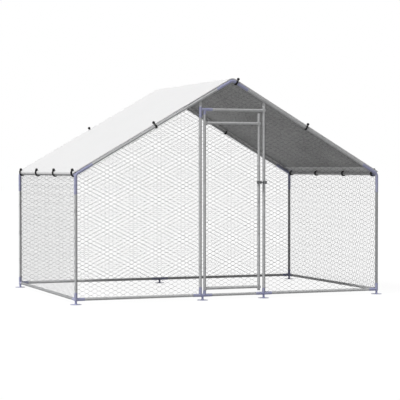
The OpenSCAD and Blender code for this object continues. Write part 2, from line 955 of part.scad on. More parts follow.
// Lean of a bungee's strands, which run off the arc round the tube into the sides of the ball
function strand_lean(wrap_r, ball_at) =
    let (grip = ball_grip * ball_r)
    atan2(ball_at, grip) - acos(wrap_r / norm([grip, ball_at]));

// Half width of a bungee's loop at a height over its tube
function loop_at(wrap_r, ball_at, height) =
    let (lean = strand_lean(wrap_r, ball_at))
    (wrap_r - height * sin(lean)) / cos(lean);

// Height of a ball's centre over its tube, where it sits on the eyelet
function ball_height(low) = low + cover_t + eyelet_t + bungee_gap + ball_r;

// Distance of an eyelet from its tube's axis, where the cord comes through the cover
function eyelet_reach(wrap_r, low) = loop_at(wrap_r, ball_height(low), low + cover_t / 2);

// Bungee round a tube along Y, with the cover above it: a cord whose two strands meet in a ball on top
module bungee(wrap_r, low) {
    ball_at = ball_height(low);
    lean = strand_lean(wrap_r, ball_at);
    lap = [strand_lap * sin(lean), 0, -strand_lap * cos(lean)];
    arc_bar(wrap_r, cord_r - strand_step, -180 - lean, lean);
    for (side = [0, 1])
        mirror([side, 0, 0])
            rod(polar_xz(wrap_r, lean) + lap, [ball_grip * ball_r, 0, ball_at], cord_r);
    translate([0, 0, ball_at])
        rotate([90, 0, 0])
            sphere(r = ball_r);
}

// Eyelet in the cover over a tube along Y, on the tube's +X side
module eyelet(wrap_r, low) {
    bush_r = eyelet_bore / 2 + eyelet_t;
    translate([eyelet_reach(wrap_r, low), 0, low])
        difference() {
            union() {
                translate([0, 0, -eyelet_t])
                    cylinder(d = eyelet_d, h = eyelet_t);
                translate([0, 0, -eyelet_t])
                    cylinder(r = bush_r, h = cover_t + 2 * eyelet_t);
                translate([0, 0, cover_t])
                    cylinder(d = eyelet_d, h = eyelet_t);
            }
            translate([0, 0, -2 * eyelet_t])
                cylinder(d = eyelet_bore, h = cover_t + 4 * eyelet_t);
        }
}

// Hole in the cover for an eyelet
module eyelet_hole(wrap_r, low) {
    translate([eyelet_reach(wrap_r, low), 0, low - eps])
        cylinder(r = eyelet_hole_r, h = cover_t + 2 * eps);
}

// Places what is made for a tube along Y at each bungee of both eaves, with +X up the slope
module at_eave_bungees() {
    step = 2 * eave_bungee_y / (eave_bungees - 1);
    for (side = [0, 1])
        mirror([side, 0, 0])
            for (i = [0 : eave_bungees - 1])
                translate([-eave_tube_x, i * step - eave_bungee_y, eave_tube_z])
                    rotate([0, -pitch, 0])
                        children();
}

// Places what is made for a tube along Y round a gable's rafters, with +X towards the middle of the run
module at_rafter(x, y, from_peak) {
    mirror([0, y > 0 ? 1 : 0, 0])
        mirror([x < 0 ? 1 : 0, 0, 0])
            translate([0, -post_y, ridge_z])
                rotate([0, pitch, 0])
                    translate([from_peak, 0, 0])
                        rotate([0, 0, 90])
                            children();
}

module at_mid_rafters() {
    for (x = [-1, 1])
        for (y = [-1, 1])
            at_rafter(x, y, slope_len / 2)
                children();
}

module at_peaks() {
    for (y = [-1, 1])
        at_rafter(1, y, peak_bungee_at)
            children();
}

// Point of the cover's fold at an angle from upright, on a radius about the fold's axis
function fold_point(r, angle) = [r * sin(angle), ridge_z - peak_cut - bend_r + r * cos(angle)];

// One side of the cover's profile, round the fold from near the left eave's edge to near the right eave's edge
function cover_line(r, inset) =
    let (
        edge = cover_over - (post_x - eave_tube_x) * cos(pitch) + (eave_z - eave_tube_z) * sin(pitch),
        run = slope_len - peak_tangent + edge - inset,
        fall = [run * cos(pitch), -run * sin(pitch)]
    )
    concat(
        [fold_point(r, -pitch) + [-fall.x, fall.y]],
        [for (i = [0 : fold_steps]) fold_point(r, pitch * (2 * i / fold_steps - 1))],
        [fold_point(r, pitch) + fall]
    );

function backwards(points) = [for (i = [len(points) - 1 : -1 : 0]) points[i]];

// Layer of the cover between two heights over the rafters, short of the cover's edges by an inset
module cover_layer(low, high, inset) {
    depth = frame_d + 2 * (cover_over - inset);
    translate([0, depth / 2, 0])
        rotate([90, 0, 0])
            linear_extrude(height = depth)
                polygon(concat(cover_line(bend_r + low, inset), backwards(cover_line(bend_r + high, inset))));
}

// Roof cover: two slopes with a round fold over the ridge, whose rolled hem lies on the connectors
module roof_cover() {
    color(white_sheet)
        difference() {
            cover_layer(hem_low, cover_low + cover_t, 0);
            cover_layer(hem_low - eps, cover_low, hem_w);
            at_eave_bungees()
                eyelet_hole(tube_wrap_r, eave_cover_low);
            at_mid_rafters()
                eyelet_hole(tube_wrap_r, cover_low);
            at_peaks()
                eyelet_hole(peak_wrap_r, cover_low);
        }
}

module roof_eyelets() {
    color(zinc_tube) {
        at_eave_bungees()
            eyelet(tube_wrap_r, eave_cover_low);
        at_mid_rafters()
            eyelet(tube_wrap_r, cover_low);
        at_peaks()
            eyelet(peak_wrap_r, cover_low);
    }
}

module eave_bungees_set() {
    color(black_rubber)
        at_eave_bungees()
            bungee(tube_wrap_r, eave_cover_low);
}

module gable_bungees_set() {
    color(black_rubber) {
        at_mid_rafters()
            bungee(tube_wrap_r, cover_low);
        at_peaks()
            bungee(peak_wrap_r, cover_low);
    }
}

base_corner_at(-1, -1);  // base_corner_front_left
base_corner_at(1, -1);  // base_corner_front_right
base_corner_at(-1, 1);  // base_corner_back_left
base_corner_at(1, 1);  // base_corner_back_right
base_tee_back();
hinge_base_connector();
latch_base_connector();
rail_x(-post_x, -jamb_x, -post_y);  // base_rail_front_left
rail_x(jamb_x, post_x, -post_y);  // base_rail_front_right
rail_x(hinge_x, jamb_x, -post_y);  // door_sill_rail
rail_x(-post_x, 0, post_y);  // base_rail_back_left
rail_x(0, post_x, post_y);  // base_rail_back_right
rail_y(-post_x);  // base_rail_left
rail_y(post_x);  // base_rail_right
post_at(-1, -1);  // post_front_left
post_at(1, -1);  // post_front_right
post_at(-1, 1);  // post_back_left
post_at(1, 1);  // post_back_right
eave_elbow_at(-1, -1);  // eave_elbow_front_left
eave_elbow_at(1, -1);  // eave_elbow_front_right
eave_elbow_at(-1, 1);  // eave_elbow_back_left
eave_elbow_at(1, 1);  // eave_elbow_back_right
eave_tube_at(-1);  // eave_tube_left
eave_tube_at(1);  // eave_tube_right
rafter_at(-1, -1);  // rafter_front_left
rafter_at(1, -1);  // rafter_front_right
rafter_at(-1, 1);  // rafter_back_left
rafter_at(1, 1);  // rafter_back_right
peak_connector_at(-1);  // peak_connector_front
peak_connector_at(1);  // peak_connector_back
ridge_tube();
hinge_jamb();
latch_jamb();
header_tube();
header_connector();
jamb_clamps();
frame_bolts();
latch_keeper();
keeper_screws();
wall_net_side(-1);  // wall_net_left
wall_net_side(1);  // wall_net_right
wall_net_back();
wall_net_front(-1);  // wall_net_front_left
wall_net_front(1);  // wall_net_front_right
gable_net();
roof_cover();
roof_eyelets();
eave_bungees_set();
gable_bungees_set();
hinge_stile();
latch_stile();
door_rail(door_high_z);  // door_top_rail
door_rail(door_low_z);  // door_bottom_rail
door_net();
door_bolts();
latch_case();
latch_screws();
latch_bolt();
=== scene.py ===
"""Dressed scene of a walk-in poultry run: tube frame, wire netting, roof cover, ball bungees and door."""

import json
import logging
import math
from dataclasses import dataclass, field
from enum import Enum
from typing import Protocol

import bmesh
import bpy
import numpy as np
from bpy.types import Material, Mesh, Node, NodeSocket, NodeTree, Object
from mathutils import Euler, Matrix, Vector


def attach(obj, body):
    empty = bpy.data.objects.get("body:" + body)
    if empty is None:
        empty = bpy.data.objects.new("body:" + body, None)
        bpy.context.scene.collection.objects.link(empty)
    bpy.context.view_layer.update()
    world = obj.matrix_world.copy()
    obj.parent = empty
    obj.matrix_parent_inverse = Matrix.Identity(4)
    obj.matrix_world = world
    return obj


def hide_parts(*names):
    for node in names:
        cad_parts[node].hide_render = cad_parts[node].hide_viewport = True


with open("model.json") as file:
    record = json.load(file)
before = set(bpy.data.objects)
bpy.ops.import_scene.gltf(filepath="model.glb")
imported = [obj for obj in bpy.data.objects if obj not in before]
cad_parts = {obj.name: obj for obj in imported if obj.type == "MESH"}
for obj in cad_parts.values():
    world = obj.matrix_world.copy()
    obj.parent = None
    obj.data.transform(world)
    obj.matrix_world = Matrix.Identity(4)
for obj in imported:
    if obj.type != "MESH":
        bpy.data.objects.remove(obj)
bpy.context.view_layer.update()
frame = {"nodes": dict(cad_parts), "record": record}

LOG = logging.getLogger("poultry_run")

Point = tuple[float, float, float]
Flat = tuple[float, float]
Shade = tuple[float, float, float]
Placed = tuple[Vector, Matrix]

TURN = "turn"
WHITE = (1.0, 1.0, 1.0, 1.0)
FAR = 10.0


class Body(Enum):
    """Bodies of the part that pieces ride on."""

    FRAME = "frame"
    DOOR = "door"


class Slot(Enum):
    """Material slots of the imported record."""

    TUBE = "galvanised_tube"
    CONNECTOR = "blue_zinc"
    NETTING = "netting_wire"
    COVER = "roof_sheet"
    BUNGEE = "bungee_rubber"
    LATCH = "latch_steel"


class Side(Enum):
    """Left or right half of the run, as the sign of X."""

    LEFT = -1
    RIGHT = 1


class Lay(Enum):
    """Direction of a net's twists."""

    LEVEL = "level"
    UPRIGHT = "upright"


class Gable(Enum):
    """Front or back gable, as the sign of Y."""

    FRONT = -1
    BACK = 1


# --- Sizes that several pieces share ---


@dataclass(frozen=True)
class RunSizes:
    """Axes and radii of the tube frame, in metres."""

    post_x: float = 1.4875
    post_y: float = 0.9875
    rail_z: float = 0.045
    eave_z: float = 1.145
    ridge_z: float = 2.0
    tube_r: float = 0.0125
    sleeve_r: float = 0.014
    bend_r: float = 0.040
    jamb_x: float = 0.313
    hinge_x: float = -0.273
    latch_x: float = 0.263
    header_z: float = 1.73009
    door_low_z: float = 0.106
    door_high_z: float = 1.60809
    cover_gap: float = 0.0003
    cover_over: float = 0.007
    cover_t: float = 0.0012
    hem_t: float = 0.010
    hem_w: float = 0.008
    cord_r: float = 0.0025
    net_gap: float = 0.0003
    tab_half: float = 0.016

    @property
    def pitch(self) -> float:
        """Slope of the roof, in radians."""
        return math.atan2(self.ridge_z - self.eave_z, self.post_x)

    @property
    def slope_len(self) -> float:
        """Length of a rafter axis from eave to peak."""
        return math.hypot(self.ridge_z - self.eave_z, self.post_x)

    @property
    def peak_half(self) -> float:
        """Half the angle between the rafters at the peak."""
        return math.pi / 2 - self.pitch

    @property
    def eave_half(self) -> float:
        """Half the angle between a post and its rafter."""
        return (math.pi / 2 + self.pitch) / 2

    @property
    def peak_tangent(self) -> float:
        """Distance from the peak to where the bend of its connector starts."""
        return self.bend_r / math.tan(self.peak_half)

    @property
    def fold_axis_z(self) -> float:
        """Height of the axis that the cover folds round at the ridge."""
        return self.ridge_z - self.bend_r / math.sin(self.peak_half)

    @property
    def eave_tube(self) -> Flat:
        """Place of an eave tube's axis, as distance from the middle and height."""
        cut = self.bend_r / math.sin(self.eave_half) - self.bend_r
        mid = math.pi / 2 - self.eave_half
        return self.post_x - cut * math.cos(mid), self.eave_z - cut * math.sin(mid)

    @property
    def cover_low(self) -> float:
        """Height of the cover's underside over the rafter axes."""
        return self.sleeve_r + self.cover_gap + self.hem_t - self.cover_t

    @property
    def eave_cover_low(self) -> float:
        """Height of the cover's underside over the eave tube axes."""
        x, z = self.eave_tube
        out, down = self.post_x - x, self.eave_z - z
        return self.cover_low + out * math.sin(self.pitch) + down * math.cos(self.pitch)

    def rafter_z(self, x: float) -> float:
        """Height of the rafter axes at a distance from the middle."""
        return self.ridge_z - abs(x) * math.tan(self.pitch)


RUN = RunSizes()


# --- Node tree helpers ---


class NodeGraph:
    """Node tree under construction, with short ways to add and link its nodes."""

    def __init__(self, tree: NodeTree) -> None:
        """Takes a tree to add to.

        Args:
            tree: Tree that gets the nodes.
        """
        self.tree = tree

    def feed(self, socket: NodeSocket, value: object) -> None:
        """Links an output to a socket, or sets the socket's own value.

        Args:
            socket: Socket that takes the value.
            value: An output socket, or a plain value.
        """
        if isinstance(value, NodeSocket):
            self.tree.links.new(value, socket)
        else:
            socket.default_value = value

    def add(self, kind: str, settings: dict[str, object] | None = None, **inputs: object) -> Node:
        """Adds a node.

        Args:
            kind: Type of the node.
            settings: Properties of the node itself.
            inputs: Sockets by name, with underscores for spaces: a value, or an output to link.

        Returns:
            The new node.
        """
        node = self.tree.nodes.new(kind)
        for key, value in (settings or {}).items():
            setattr(node, key, value)
        for key, value in inputs.items():
            self.feed(node.inputs[key.replace("_", " ")], value)
        return node

    def maths(self, operation: str, first: object, second: object = 0.0) -> NodeSocket:
        """Joins two values by an operation of the Math node.

        Args:
            operation: Name of the operation.
            first: First value.
            second: Second value.

        Returns:
            The result.
        """
        node = self.add("ShaderNodeMath", {"operation": operation})
        self.feed(node.inputs[0], first)
        self.feed(node.inputs[1], second)
        return node.outputs[0]

    def span(self, value: object, low: float, high: float, start: float = 0.0, end: float = 1.0) -> NodeSocket:
        """Maps a value's range onto another range.

        Args:
            value: Value to map.
            low: Result at the start.
            high: Result at the end.
            start: Value that gives low.
            end: Value that gives high.

        Returns:
            The mapped value.
        """
        node = self.add("ShaderNodeMapRange", Value=value, From_Min=start, From_Max=end, To_Min=low, To_Max=high)
        return node.outputs[0]


class ShaderGraph(NodeGraph):
    """Material under construction, with a Principled shader and short ways to add what drives it."""

    def __init__(self, name: str) -> None:
        """Starts a material with a Principled shader joined to its output.

        Args:
            name: Name of the material.
        """
        self.material = bpy.data.materials.new(name)
        self.material.use_nodes = True
        super().__init__(self.material.node_tree)
        self.tree.nodes.clear()
        self.shader = self.add("ShaderNodeBsdfPrincipled")
        self.add("ShaderNodeOutputMaterial", Surface=self.shader.outputs[0])

    def place(self, uv: bool = False) -> NodeSocket:
        """Coordinates of a pattern: the piece's own place, or its UV map."""
        return self.add("ShaderNodeTexCoord").outputs["UV" if uv else "Object"]

    def noise(self, place: object, scale: float, detail: float = 3.0, rough: float = 0.55) -> NodeSocket:
        """Noise from 0 to 1.

        Args:
            place: Coordinates to read.
            scale: Features per metre.
            detail: Octaves of the noise.
            rough: Weight of the finer octaves.

        Returns:
            The noise's value.
        """
        node = self.add("ShaderNodeTexNoise", Vector=place, Scale=scale, Detail=detail, Roughness=rough)
        return node.outputs["Fac"]

    def stretched(self, place: object, scale: Point) -> NodeSocket:
        """Coordinates with a scale of their own along each axis.

        Args:
            place: Coordinates to read.
            scale: Factor along X, Y and Z.

        Returns:
            The scaled coordinates.
        """
        return self.add("ShaderNodeMapping", Vector=place, Scale=scale).outputs[0]

    def blend(self, factor: object, first: object, second: object) -> NodeSocket:
        """Mixes two colours.

        Args:
            factor: Share of the second colour.
            first: Colour at 0.
            second: Colour at 1.

        Returns:
            The mixed colour.
        """
        node = self.add("ShaderNodeMix", {"data_type": "RGBA"})
        colours = [s for s in node.inputs if s.type == "RGBA"]
        self.feed(node.inputs[0], factor)
        for socket, colour in zip(colours, (first, second)):
            self.feed(socket, (*colour, 1.0) if isinstance(colour, tuple) else colour)
        return next(s for s in node.outputs if s.type == "RGBA")

    def bump(self, height: object, depth: float, strength: float = 1.0) -> None:
        """Drives the shader's normal from a height.

        Args:
            height: Height from 0 to 1.
            depth: Height of a full step, in metres.
            strength: Strength of the effect.
        """
        node = self.add("ShaderNodeBump", Height=height, Distance=depth, Strength=strength)
        self.feed(self.shader.inputs["Normal"], node.outputs[0])

    def set(self, **inputs: object) -> None:
        """Sets or links the shader's own sockets, with underscores for spaces."""
        for key, value in inputs.items():
            value = (*value, 1.0) if isinstance(value, tuple) and len(value) == 3 else value
            self.feed(self.shader.inputs[key.replace("_", " ")], value)


class GeometryTree(NodeGraph):
    """Geometry node tree with named inputs, which is run once on a mesh and leaves a plain mesh."""

    def __init__(self, name: str) -> None:
        """Starts a tree that takes and gives geometry.

        Args:
            name: Name of the tree.
        """
        super().__init__(bpy.data.node_groups.new(name, "GeometryNodeTree"))
        for way in ("INPUT", "OUTPUT"):
            self.tree.interface.new_socket("Geometry", in_out=way, socket_type="NodeSocketGeometry")
        self.named: dict[str, str] = {}
        self.head: Node | None = None

    def take(self, name: str, kind: str) -> None:
        """Adds a named input.

        Args:
            name: Name of the input.
            kind: Socket type, without its prefix.
        """
        item = self.tree.interface.new_socket(name, in_out="INPUT", socket_type="NodeSocket" + kind)
        self.named[name] = item.identifier

    def given(self, name: str) -> NodeSocket:
        """Output of the group input that carries a named input."""
        self.head = self.head or self.tree.nodes.new("NodeGroupInput")
        return self.head.outputs[name]

    def close(self, result: NodeSocket) -> None:
        """Ends the tree in Realize Instances and Set Material.

        Args:
            result: Geometry that the tree has made.
        """
        real = self.add("GeometryNodeRealizeInstances", Geometry=result)
        dressed = self.add("GeometryNodeSetMaterial", Geometry=real.outputs[0], Material=self.given("Finish"))
        self.add("NodeGroupOutput", Geometry=dressed.outputs[0])

    def run(self, name: str, source: Mesh, values: dict[str, object]) -> Object:
        """Runs the tree on a mesh.

        Args:
            name: Name of the finished piece.
            source: Mesh that the tree reads.
            values: Values of the named inputs.

        Returns:
            A plain mesh object at the origin.
        """
        carrier = bpy.data.objects.new(name + "_source", source)
        modifier = carrier.modifiers.new("tree", "NODES")
        modifier.node_group = self.tree
        for key, value in values.items():
            modifier[self.named[key]] = value
        bpy.context.scene.collection.objects.link(carrier)
        bpy.context.view_layer.update()
        graph = bpy.context.evaluated_depsgraph_get()
        mesh = bpy.data.meshes.new_from_object(carrier.evaluated_get(graph), depsgraph=graph)
        bpy.data.objects.remove(carrier)
        bpy.data.meshes.remove(source)
        mesh.name = name
        return show(name, mesh)


def sweep_tree() -> GeometryTree:
    """Tree that sweeps a round wire along the edges of a mesh.

    Returns:
        The tree, with the inputs Wire Radius, Sides and Finish.
    """
    tree = GeometryTree("wire_along_path")
    tree.take("Wire Radius", "Float")
    tree.take("Sides", "Int")
    tree.take("Finish", "Material")
    path = tree.add("GeometryNodeMeshToCurve", Mesh=tree.given("Geometry"))
    ring = tree.add(
        "GeometryNodeCurvePrimitiveCircle", Resolution=tree.given("Sides"), Radius=tree.given("Wire Radius")
    )
    swept = tree.add(
        "GeometryNodeCurveToMesh", Curve=path.outputs[0], Profile_Curve=ring.outputs["Curve"], Fill_Caps=True
    )
    smooth = tree.add("GeometryNodeSetShadeSmooth", Geometry=swept.outputs[0])
    tree.close(smooth.outputs[0])
    return tree


def repeat_tree() -> GeometryTree:
    """Tree that sets a unit piece on every point of a mesh, turned by the point's own angles.

    Returns:
        The tree, with the inputs Unit, Unit Size and Finish.
    """
    tree = GeometryTree("unit_on_points")
    tree.take("Unit", "Object")
    tree.take("Unit Size", "Float")
    tree.take("Finish", "Material")
    unit = tree.add("GeometryNodeObjectInfo", Object=tree.given("Unit"))
    turn = tree.add("GeometryNodeInputNamedAttribute", {"data_type": "FLOAT_VECTOR"}, Name=TURN)
    angles = tree.add("FunctionNodeEulerToRotation", Euler=turn.outputs["Attribute"])
    placed = tree.add(
        "GeometryNodeInstanceOnPoints",
        Points=tree.given("Geometry"),
        Instance=unit.outputs["Geometry"],
        Rotation=angles.outputs[0],
        Scale=tree.given("Unit Size"),
    )
    tree.close(placed.outputs[0])
    return tree


# --- Mesh helpers ---


def show(name: str, mesh: Mesh) -> Object:
    """Puts a mesh into the scene as an object at the origin.

    Args:
        name: Name of the object.
        mesh: Its mesh.

    Returns:
        The object.
    """
    piece = bpy.data.objects.new(name, mesh)
    bpy.context.scene.collection.objects.link(piece)
    return piece


def path_mesh(name: str, paths: list[np.ndarray], closed: bool = False) -> Mesh:
    """Mesh of bare edges along paths.

    Args:
        name: Name of the mesh.
        paths: Points of each path, one row each.
        closed: Whether each path returns to its start.

    Returns:
        The mesh.
    """
    edges: list[tuple[int, int]] = []
    start = 0
    for path in paths:
        last = start + len(path) - 1
        edges += [(i, i + 1) for i in range(start, last)]
        if closed:
            edges.append((last, start))
        start = last + 1
    mesh = bpy.data.meshes.new(name)
    mesh.from_pydata(np.vstack(paths).tolist(), edges, [])
    return mesh


def point_mesh(name: str, places: list[Placed]) -> Mesh:
    """Mesh of bare points, each with the angles that its unit is turned by.

    Args:
        name: Name of the mesh.
        places: Place and turn of each point.

    Returns:
        The mesh.
    """
    mesh = bpy.data.meshes.new(name)
    mesh.from_pydata([tuple(place) for place, _ in places], [], [])
    turns = mesh.attributes.new(TURN, "FLOAT_VECTOR", "POINT")
    turns.data.foreach_set("vector", [a for _, turn in places for a in turn.to_3x3().to_euler("XYZ")])
    return mesh


def baked(name: str, made: bmesh.types.BMesh, outward: bool = True) -> Mesh:
    """Turns a shape under construction into a mesh and frees it.

    Args:
        name: Name of the mesh.
        made: The shape.
        outward: Whether its faces are first turned to point outwards.

    Returns:
        The mesh.
    """
    if outward:
        bmesh.ops.recalc_face_normals(made, faces=made.faces)
    mesh = bpy.data.meshes.new(name)
    made.to_mesh(mesh)
    made.free()
    return mesh


def run_lengths(points: np.ndarray) -> np.ndarray:
    """Lengths along a row of points, from 0 at its first."""
    return np.concatenate([[0.0], np.cumsum(np.linalg.norm(np.diff(points, axis=0), axis=1))])


def ring_mesh(
    name: str,
    rings: list[list[Vector]],
    lengths: np.ndarray,
    girth: float,
    closed: bool = False,
    along_first: bool = False,
) -> Mesh:
    """Smooth skin over a row of rings, with a UV map that runs round it and along it in metres.

    Args:
        name: Name of the mesh.
        rings: Points of each ring.
        lengths: Length along the row at each ring, and once more at the first where the row is closed.
        girth: Length round a ring.
        closed: Whether the row returns to its start; an open one gets end faces.
        along_first: Whether the map's first axis runs along the row.

    Returns:
        The mesh.
    """
    made = bmesh.new()
    uv = made.loops.layers.uv.new("UVMap")
    grid = [[made.verts.new(point) for point in ring] for ring in rings]
    count, sides = len(grid), len(grid[0])
    for i in range(count if closed else count - 1):
        for k in range(sides):
            spots = ((i, k), (i, k + 1), (i + 1, k + 1), (i + 1, k))
            face = made.faces.new([grid[a % count][b % sides] for a, b in spots])
            face.smooth = True
            for loop, (a, b) in zip(face.loops, spots):
                place = (b / sides * girth, lengths[a])
                loop[uv].uv = place[::-1] if along_first else place
    if not closed:
        made.faces.new(grid[0][::-1])
        made.faces.new(grid[-1])
    return baked(name, made)


def tube_mesh(name: str, path: np.ndarray, radius: float | np.ndarray, sides: int, closed: bool = False) -> Mesh:
    """Round bar along a path.

    Args:
        name: Name of the mesh.
        path: Points of the path, one row each.
        radius: Radius of the bar, or its radius at each point.
        sides: Sides of the bar.
        closed: Whether the path returns to its start.

    Returns:
        The mesh.
    """
    girth = np.broadcast_to(radius, len(path)).tolist()
    ahead = np.roll(path, -1, 0) - np.roll(path, 1, 0)
    if not closed:
        ahead[0] = path[1] - path[0]
        ahead[-1] = path[-1] - path[-2]
    ahead /= np.linalg.norm(ahead, axis=1, keepdims=True)
    turns = [math.tau * k / sides for k in range(sides)]
    normal = Vector(ahead[0]).orthogonal().normalized()
    rings = []
    for middle, way, out in zip(path, ahead, girth):
        along = Vector(way)
        normal = (normal - along * normal.dot(along)).normalized()
        across = along.cross(normal)
        rings.append([Vector(middle) + out * (math.cos(a) * normal + math.sin(a) * across) for a in turns])
    lengths = run_lengths(np.vstack([path, path[:1]]))
    return ring_mesh(name, rings, lengths, math.tau * girth[0], closed)


def lathe_mesh(name: str, profile: list[Flat], sides: int) -> Mesh:
    """Turned piece about the Z axis, closed at both ends on the axis.

    Args:
        name: Name of the mesh.
        profile: Radius and height of each ring, with radius 0 at both ends.
        sides: Sides of the piece.

    Returns:
        The mesh.
    """
    made = bmesh.new()
    rows = []
    for radius, height in profile:
        if radius == 0:
            rows.append([made.verts.new((0, 0, height))])
            continue
        turns = [math.tau * k / sides for k in range(sides)]
        rows.append([made.verts.new((radius * math.cos(a), radius * math.sin(a), height)) for a in turns])
    for low, high in zip(rows, rows[1:]):
        for k in range(sides):
            corners = [low[k % len(low)], low[(k + 1) % len(low)], high[(k + 1) % len(high)], high[k % len(high)]]
            made.faces.new(list(dict.fromkeys(corners))).smooth = True
    return baked(name, made)


def joined(name: str, parts: list[Mesh], finishes: list[Material]) -> Mesh:
    """Joins meshes into one and removes them.

    Args:
        name: Name of the whole mesh.
        parts: Meshes to join.
        finishes: Materials of the whole, in the order of the parts' indices.

    Returns:
        The whole mesh.
    """
    made = bmesh.new()
    for part in parts:
        made.from_mesh(part)
        bpy.data.meshes.remove(part)
    whole = baked(name, made, outward=False)
    for finish in finishes:
        whole.materials.append(finish)
    return whole


def set_units(name: str, unit: Mesh, places: list[Placed], repeat: GeometryTree, finish: Material) -> Object:
    """Sets a unit mesh on every one of a list of places.

    Args:
        name: Name of the finished piece.
        unit: Mesh of the unit, at the origin.
        places: Place and turn of each copy.
        repeat: Tree that sets a unit on points.
        finish: Material of the copies.

    Returns:
        All copies, as one piece.
    """
    carrier = show(unit.name, unit)
    values = {"Unit": carrier, "Unit Size": 1.0, "Finish": finish}
    piece = repeat.run(name, point_mesh(name + "_points", places), values)
    bpy.data.objects.remove(carrier)
    return piece


def settle(piece: Object, body: Body, slot: Slot, *nodes: str) -> Object:
    """Lets a piece ride on a body, hides the nodes that it stands for, and reports it.

    Args:
        piece: Finished piece.
        body: Body that it moves with.
        slot: Slot that it takes its finish from; not used.
        nodes: Nodes that it replaces.

    Returns:
        The piece.
    """
    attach(piece, body.value)
    if nodes:
        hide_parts(*nodes)
    LOG.info("%s on %s: %d faces", piece.name, body.value, len(piece.data.polygons))
    return piece


# --- Finishes ---


class Finish(Protocol):
    """What every finish can do."""

    def make(self) -> Material:
        """Makes the material."""


def once(finish: Finish) -> Material:
    """Field of a set of finishes that makes one material when the set is made."""
    return field(default_factory=finish.make)


@dataclass(frozen=True)
class GalvanisedFinish:
    """Satin zinc on steel, with the patches of its crystals and a fine grain.

    Attributes:
        name: Name of the material.
        pale: Colour of the brighter crystals.
        dull: Colour of the duller ones.
        crystal: Crystals per metre.
        rough: Least and greatest roughness.
        metal: Share of metal in the shader.
    """

    name: str
    pale: Shade
    dull: Shade
    crystal: float = 90.0
    rough: Flat = (0.34, 0.52)
    metal: float = 0.04

    def make(self) -> Material:
        """Makes the material."""
        graph = ShaderGraph(self.name)
        place = graph.place()
        cells = graph.add("ShaderNodeTexVoronoi", {"feature": "F1"}, Vector=place, Scale=self.crystal)
        tone = graph.add("ShaderNodeSeparateColor", Color=cells.outputs["Color"]).outputs[0]
        cloud = graph.noise(place, 14.0, 4.0)
        fine = graph.noise(place, 700.0, 2.0)
        mixed = graph.maths("ADD", graph.maths("MULTIPLY", tone, 0.45), graph.maths("MULTIPLY", cloud, 0.55))
        graph.set(
            Base_Color=graph.blend(mixed, self.dull, self.pale),
            Metallic=self.metal,
            Roughness=graph.span(mixed, self.rough[1], self.rough[0], 0.2, 0.8),
            Specular_IOR_Level=0.2,
        )
        graph.bump(graph.maths("ADD", fine, graph.maths("MULTIPLY", tone, 0.5)), 0.00012, 0.35)
        return graph.material


@dataclass(frozen=True)
class BlueZincFinish:
    """Bright zinc plate with a blue cast that drifts over the surface.

    Attributes:
        name: Name of the material.
        blue: Main colour.
        warm: Colour that the cast drifts to.
        rough: Least and greatest roughness.
    """

    name: str
    blue: Shade
    warm: Shade
    rough: Flat = (0.30, 0.46)

    def make(self) -> Material:
        """Makes the material."""
        graph = ShaderGraph(self.name)
        place = graph.place()
        drift = graph.noise(place, 22.0, 3.0)
        brushed = graph.noise(graph.stretched(place, (900.0, 900.0, 60.0)), 1.0, 2.0)
        stain = graph.span(graph.noise(place, 60.0, 4.0, 0.7), 0.0, 1.0, 0.62, 0.75)
        colour = graph.blend(graph.span(drift, 0.0, 1.0, 0.35, 0.75), self.blue, self.warm)
        graph.set(
            Base_Color=graph.blend(graph.maths("MULTIPLY", stain, 0.25), colour, (0.30, 0.30, 0.40)),
            Metallic=0.06,
            Specular_IOR_Level=0.3,
            Roughness=graph.span(brushed, self.rough[0], self.rough[1], 0.3, 0.7),
        )
        graph.bump(brushed, 0.00008, 0.3)
        return graph.material


@dataclass(frozen=True)
class WovenSheetFinish:
    """Coated sheet woven from flat tapes.

    Attributes:
        name: Name of the material.
        pale: Colour of the tapes that lie on top.
        deep: Colour between the tapes, darker as painted shade in the grooves.
        tape: Width of a tape, in metres.
        rough: Roughness of the coating.
        soil: Strength of the uneven tone over the sheet.
        slub: Strength of the uneven tone from tape to tape.
    """

    name: str
    pale: Shade
    deep: Shade
    tape: float = 0.0028
    rough: float = 0.48
    soil: float = 0.25
    slub: float = 0.0

    def make(self) -> Material:
        """Makes the material."""
        graph = ShaderGraph(self.name)
        place = graph.place(uv=True)
        turns = math.tau / (2 * self.tape)
        split = graph.add("ShaderNodeSeparateXYZ", Vector=place)
        waves = [graph.maths("SINE", graph.maths("MULTIPLY", split.outputs[i], turns)) for i in (0, 1)]
        # The weave's grooves take the deep colour as painted shade; the same weave also drives the bump.
        weave = graph.span(graph.maths("MULTIPLY", *waves), 0.0, 1.0, -1.0, 1.0)
        cloud = graph.noise(place, 2.2, 4.0, 0.6)
        crease = graph.noise(graph.stretched(place, (3.0, 14.0, 1.0)), 1.0, 3.0)
        woven, soiled = graph.maths("MULTIPLY", weave, 1.0 - self.soil), graph.maths("MULTIPLY", cloud, self.soil)
        tone = graph.maths("ADD", woven, soiled)
        if self.slub:
            thick = graph.noise(graph.stretched(place, (38.0, 80.0, 1.0)), 1.0, 2.0, 0.6)
            tone = graph.maths("ADD", tone, graph.span(thick, -self.slub, self.slub, 0.25, 0.75))
        graph.set(
            Base_Color=graph.blend(tone, self.deep, self.pale),
            Roughness=graph.span(cloud, self.rough - 0.08, self.rough + 0.1, 0.3, 0.7),
            Specular_IOR_Level=0.35,
        )
        graph.bump(graph.maths("ADD", weave, graph.maths("MULTIPLY", crease, 1.5)), 0.0003, 0.4)
        return graph.material


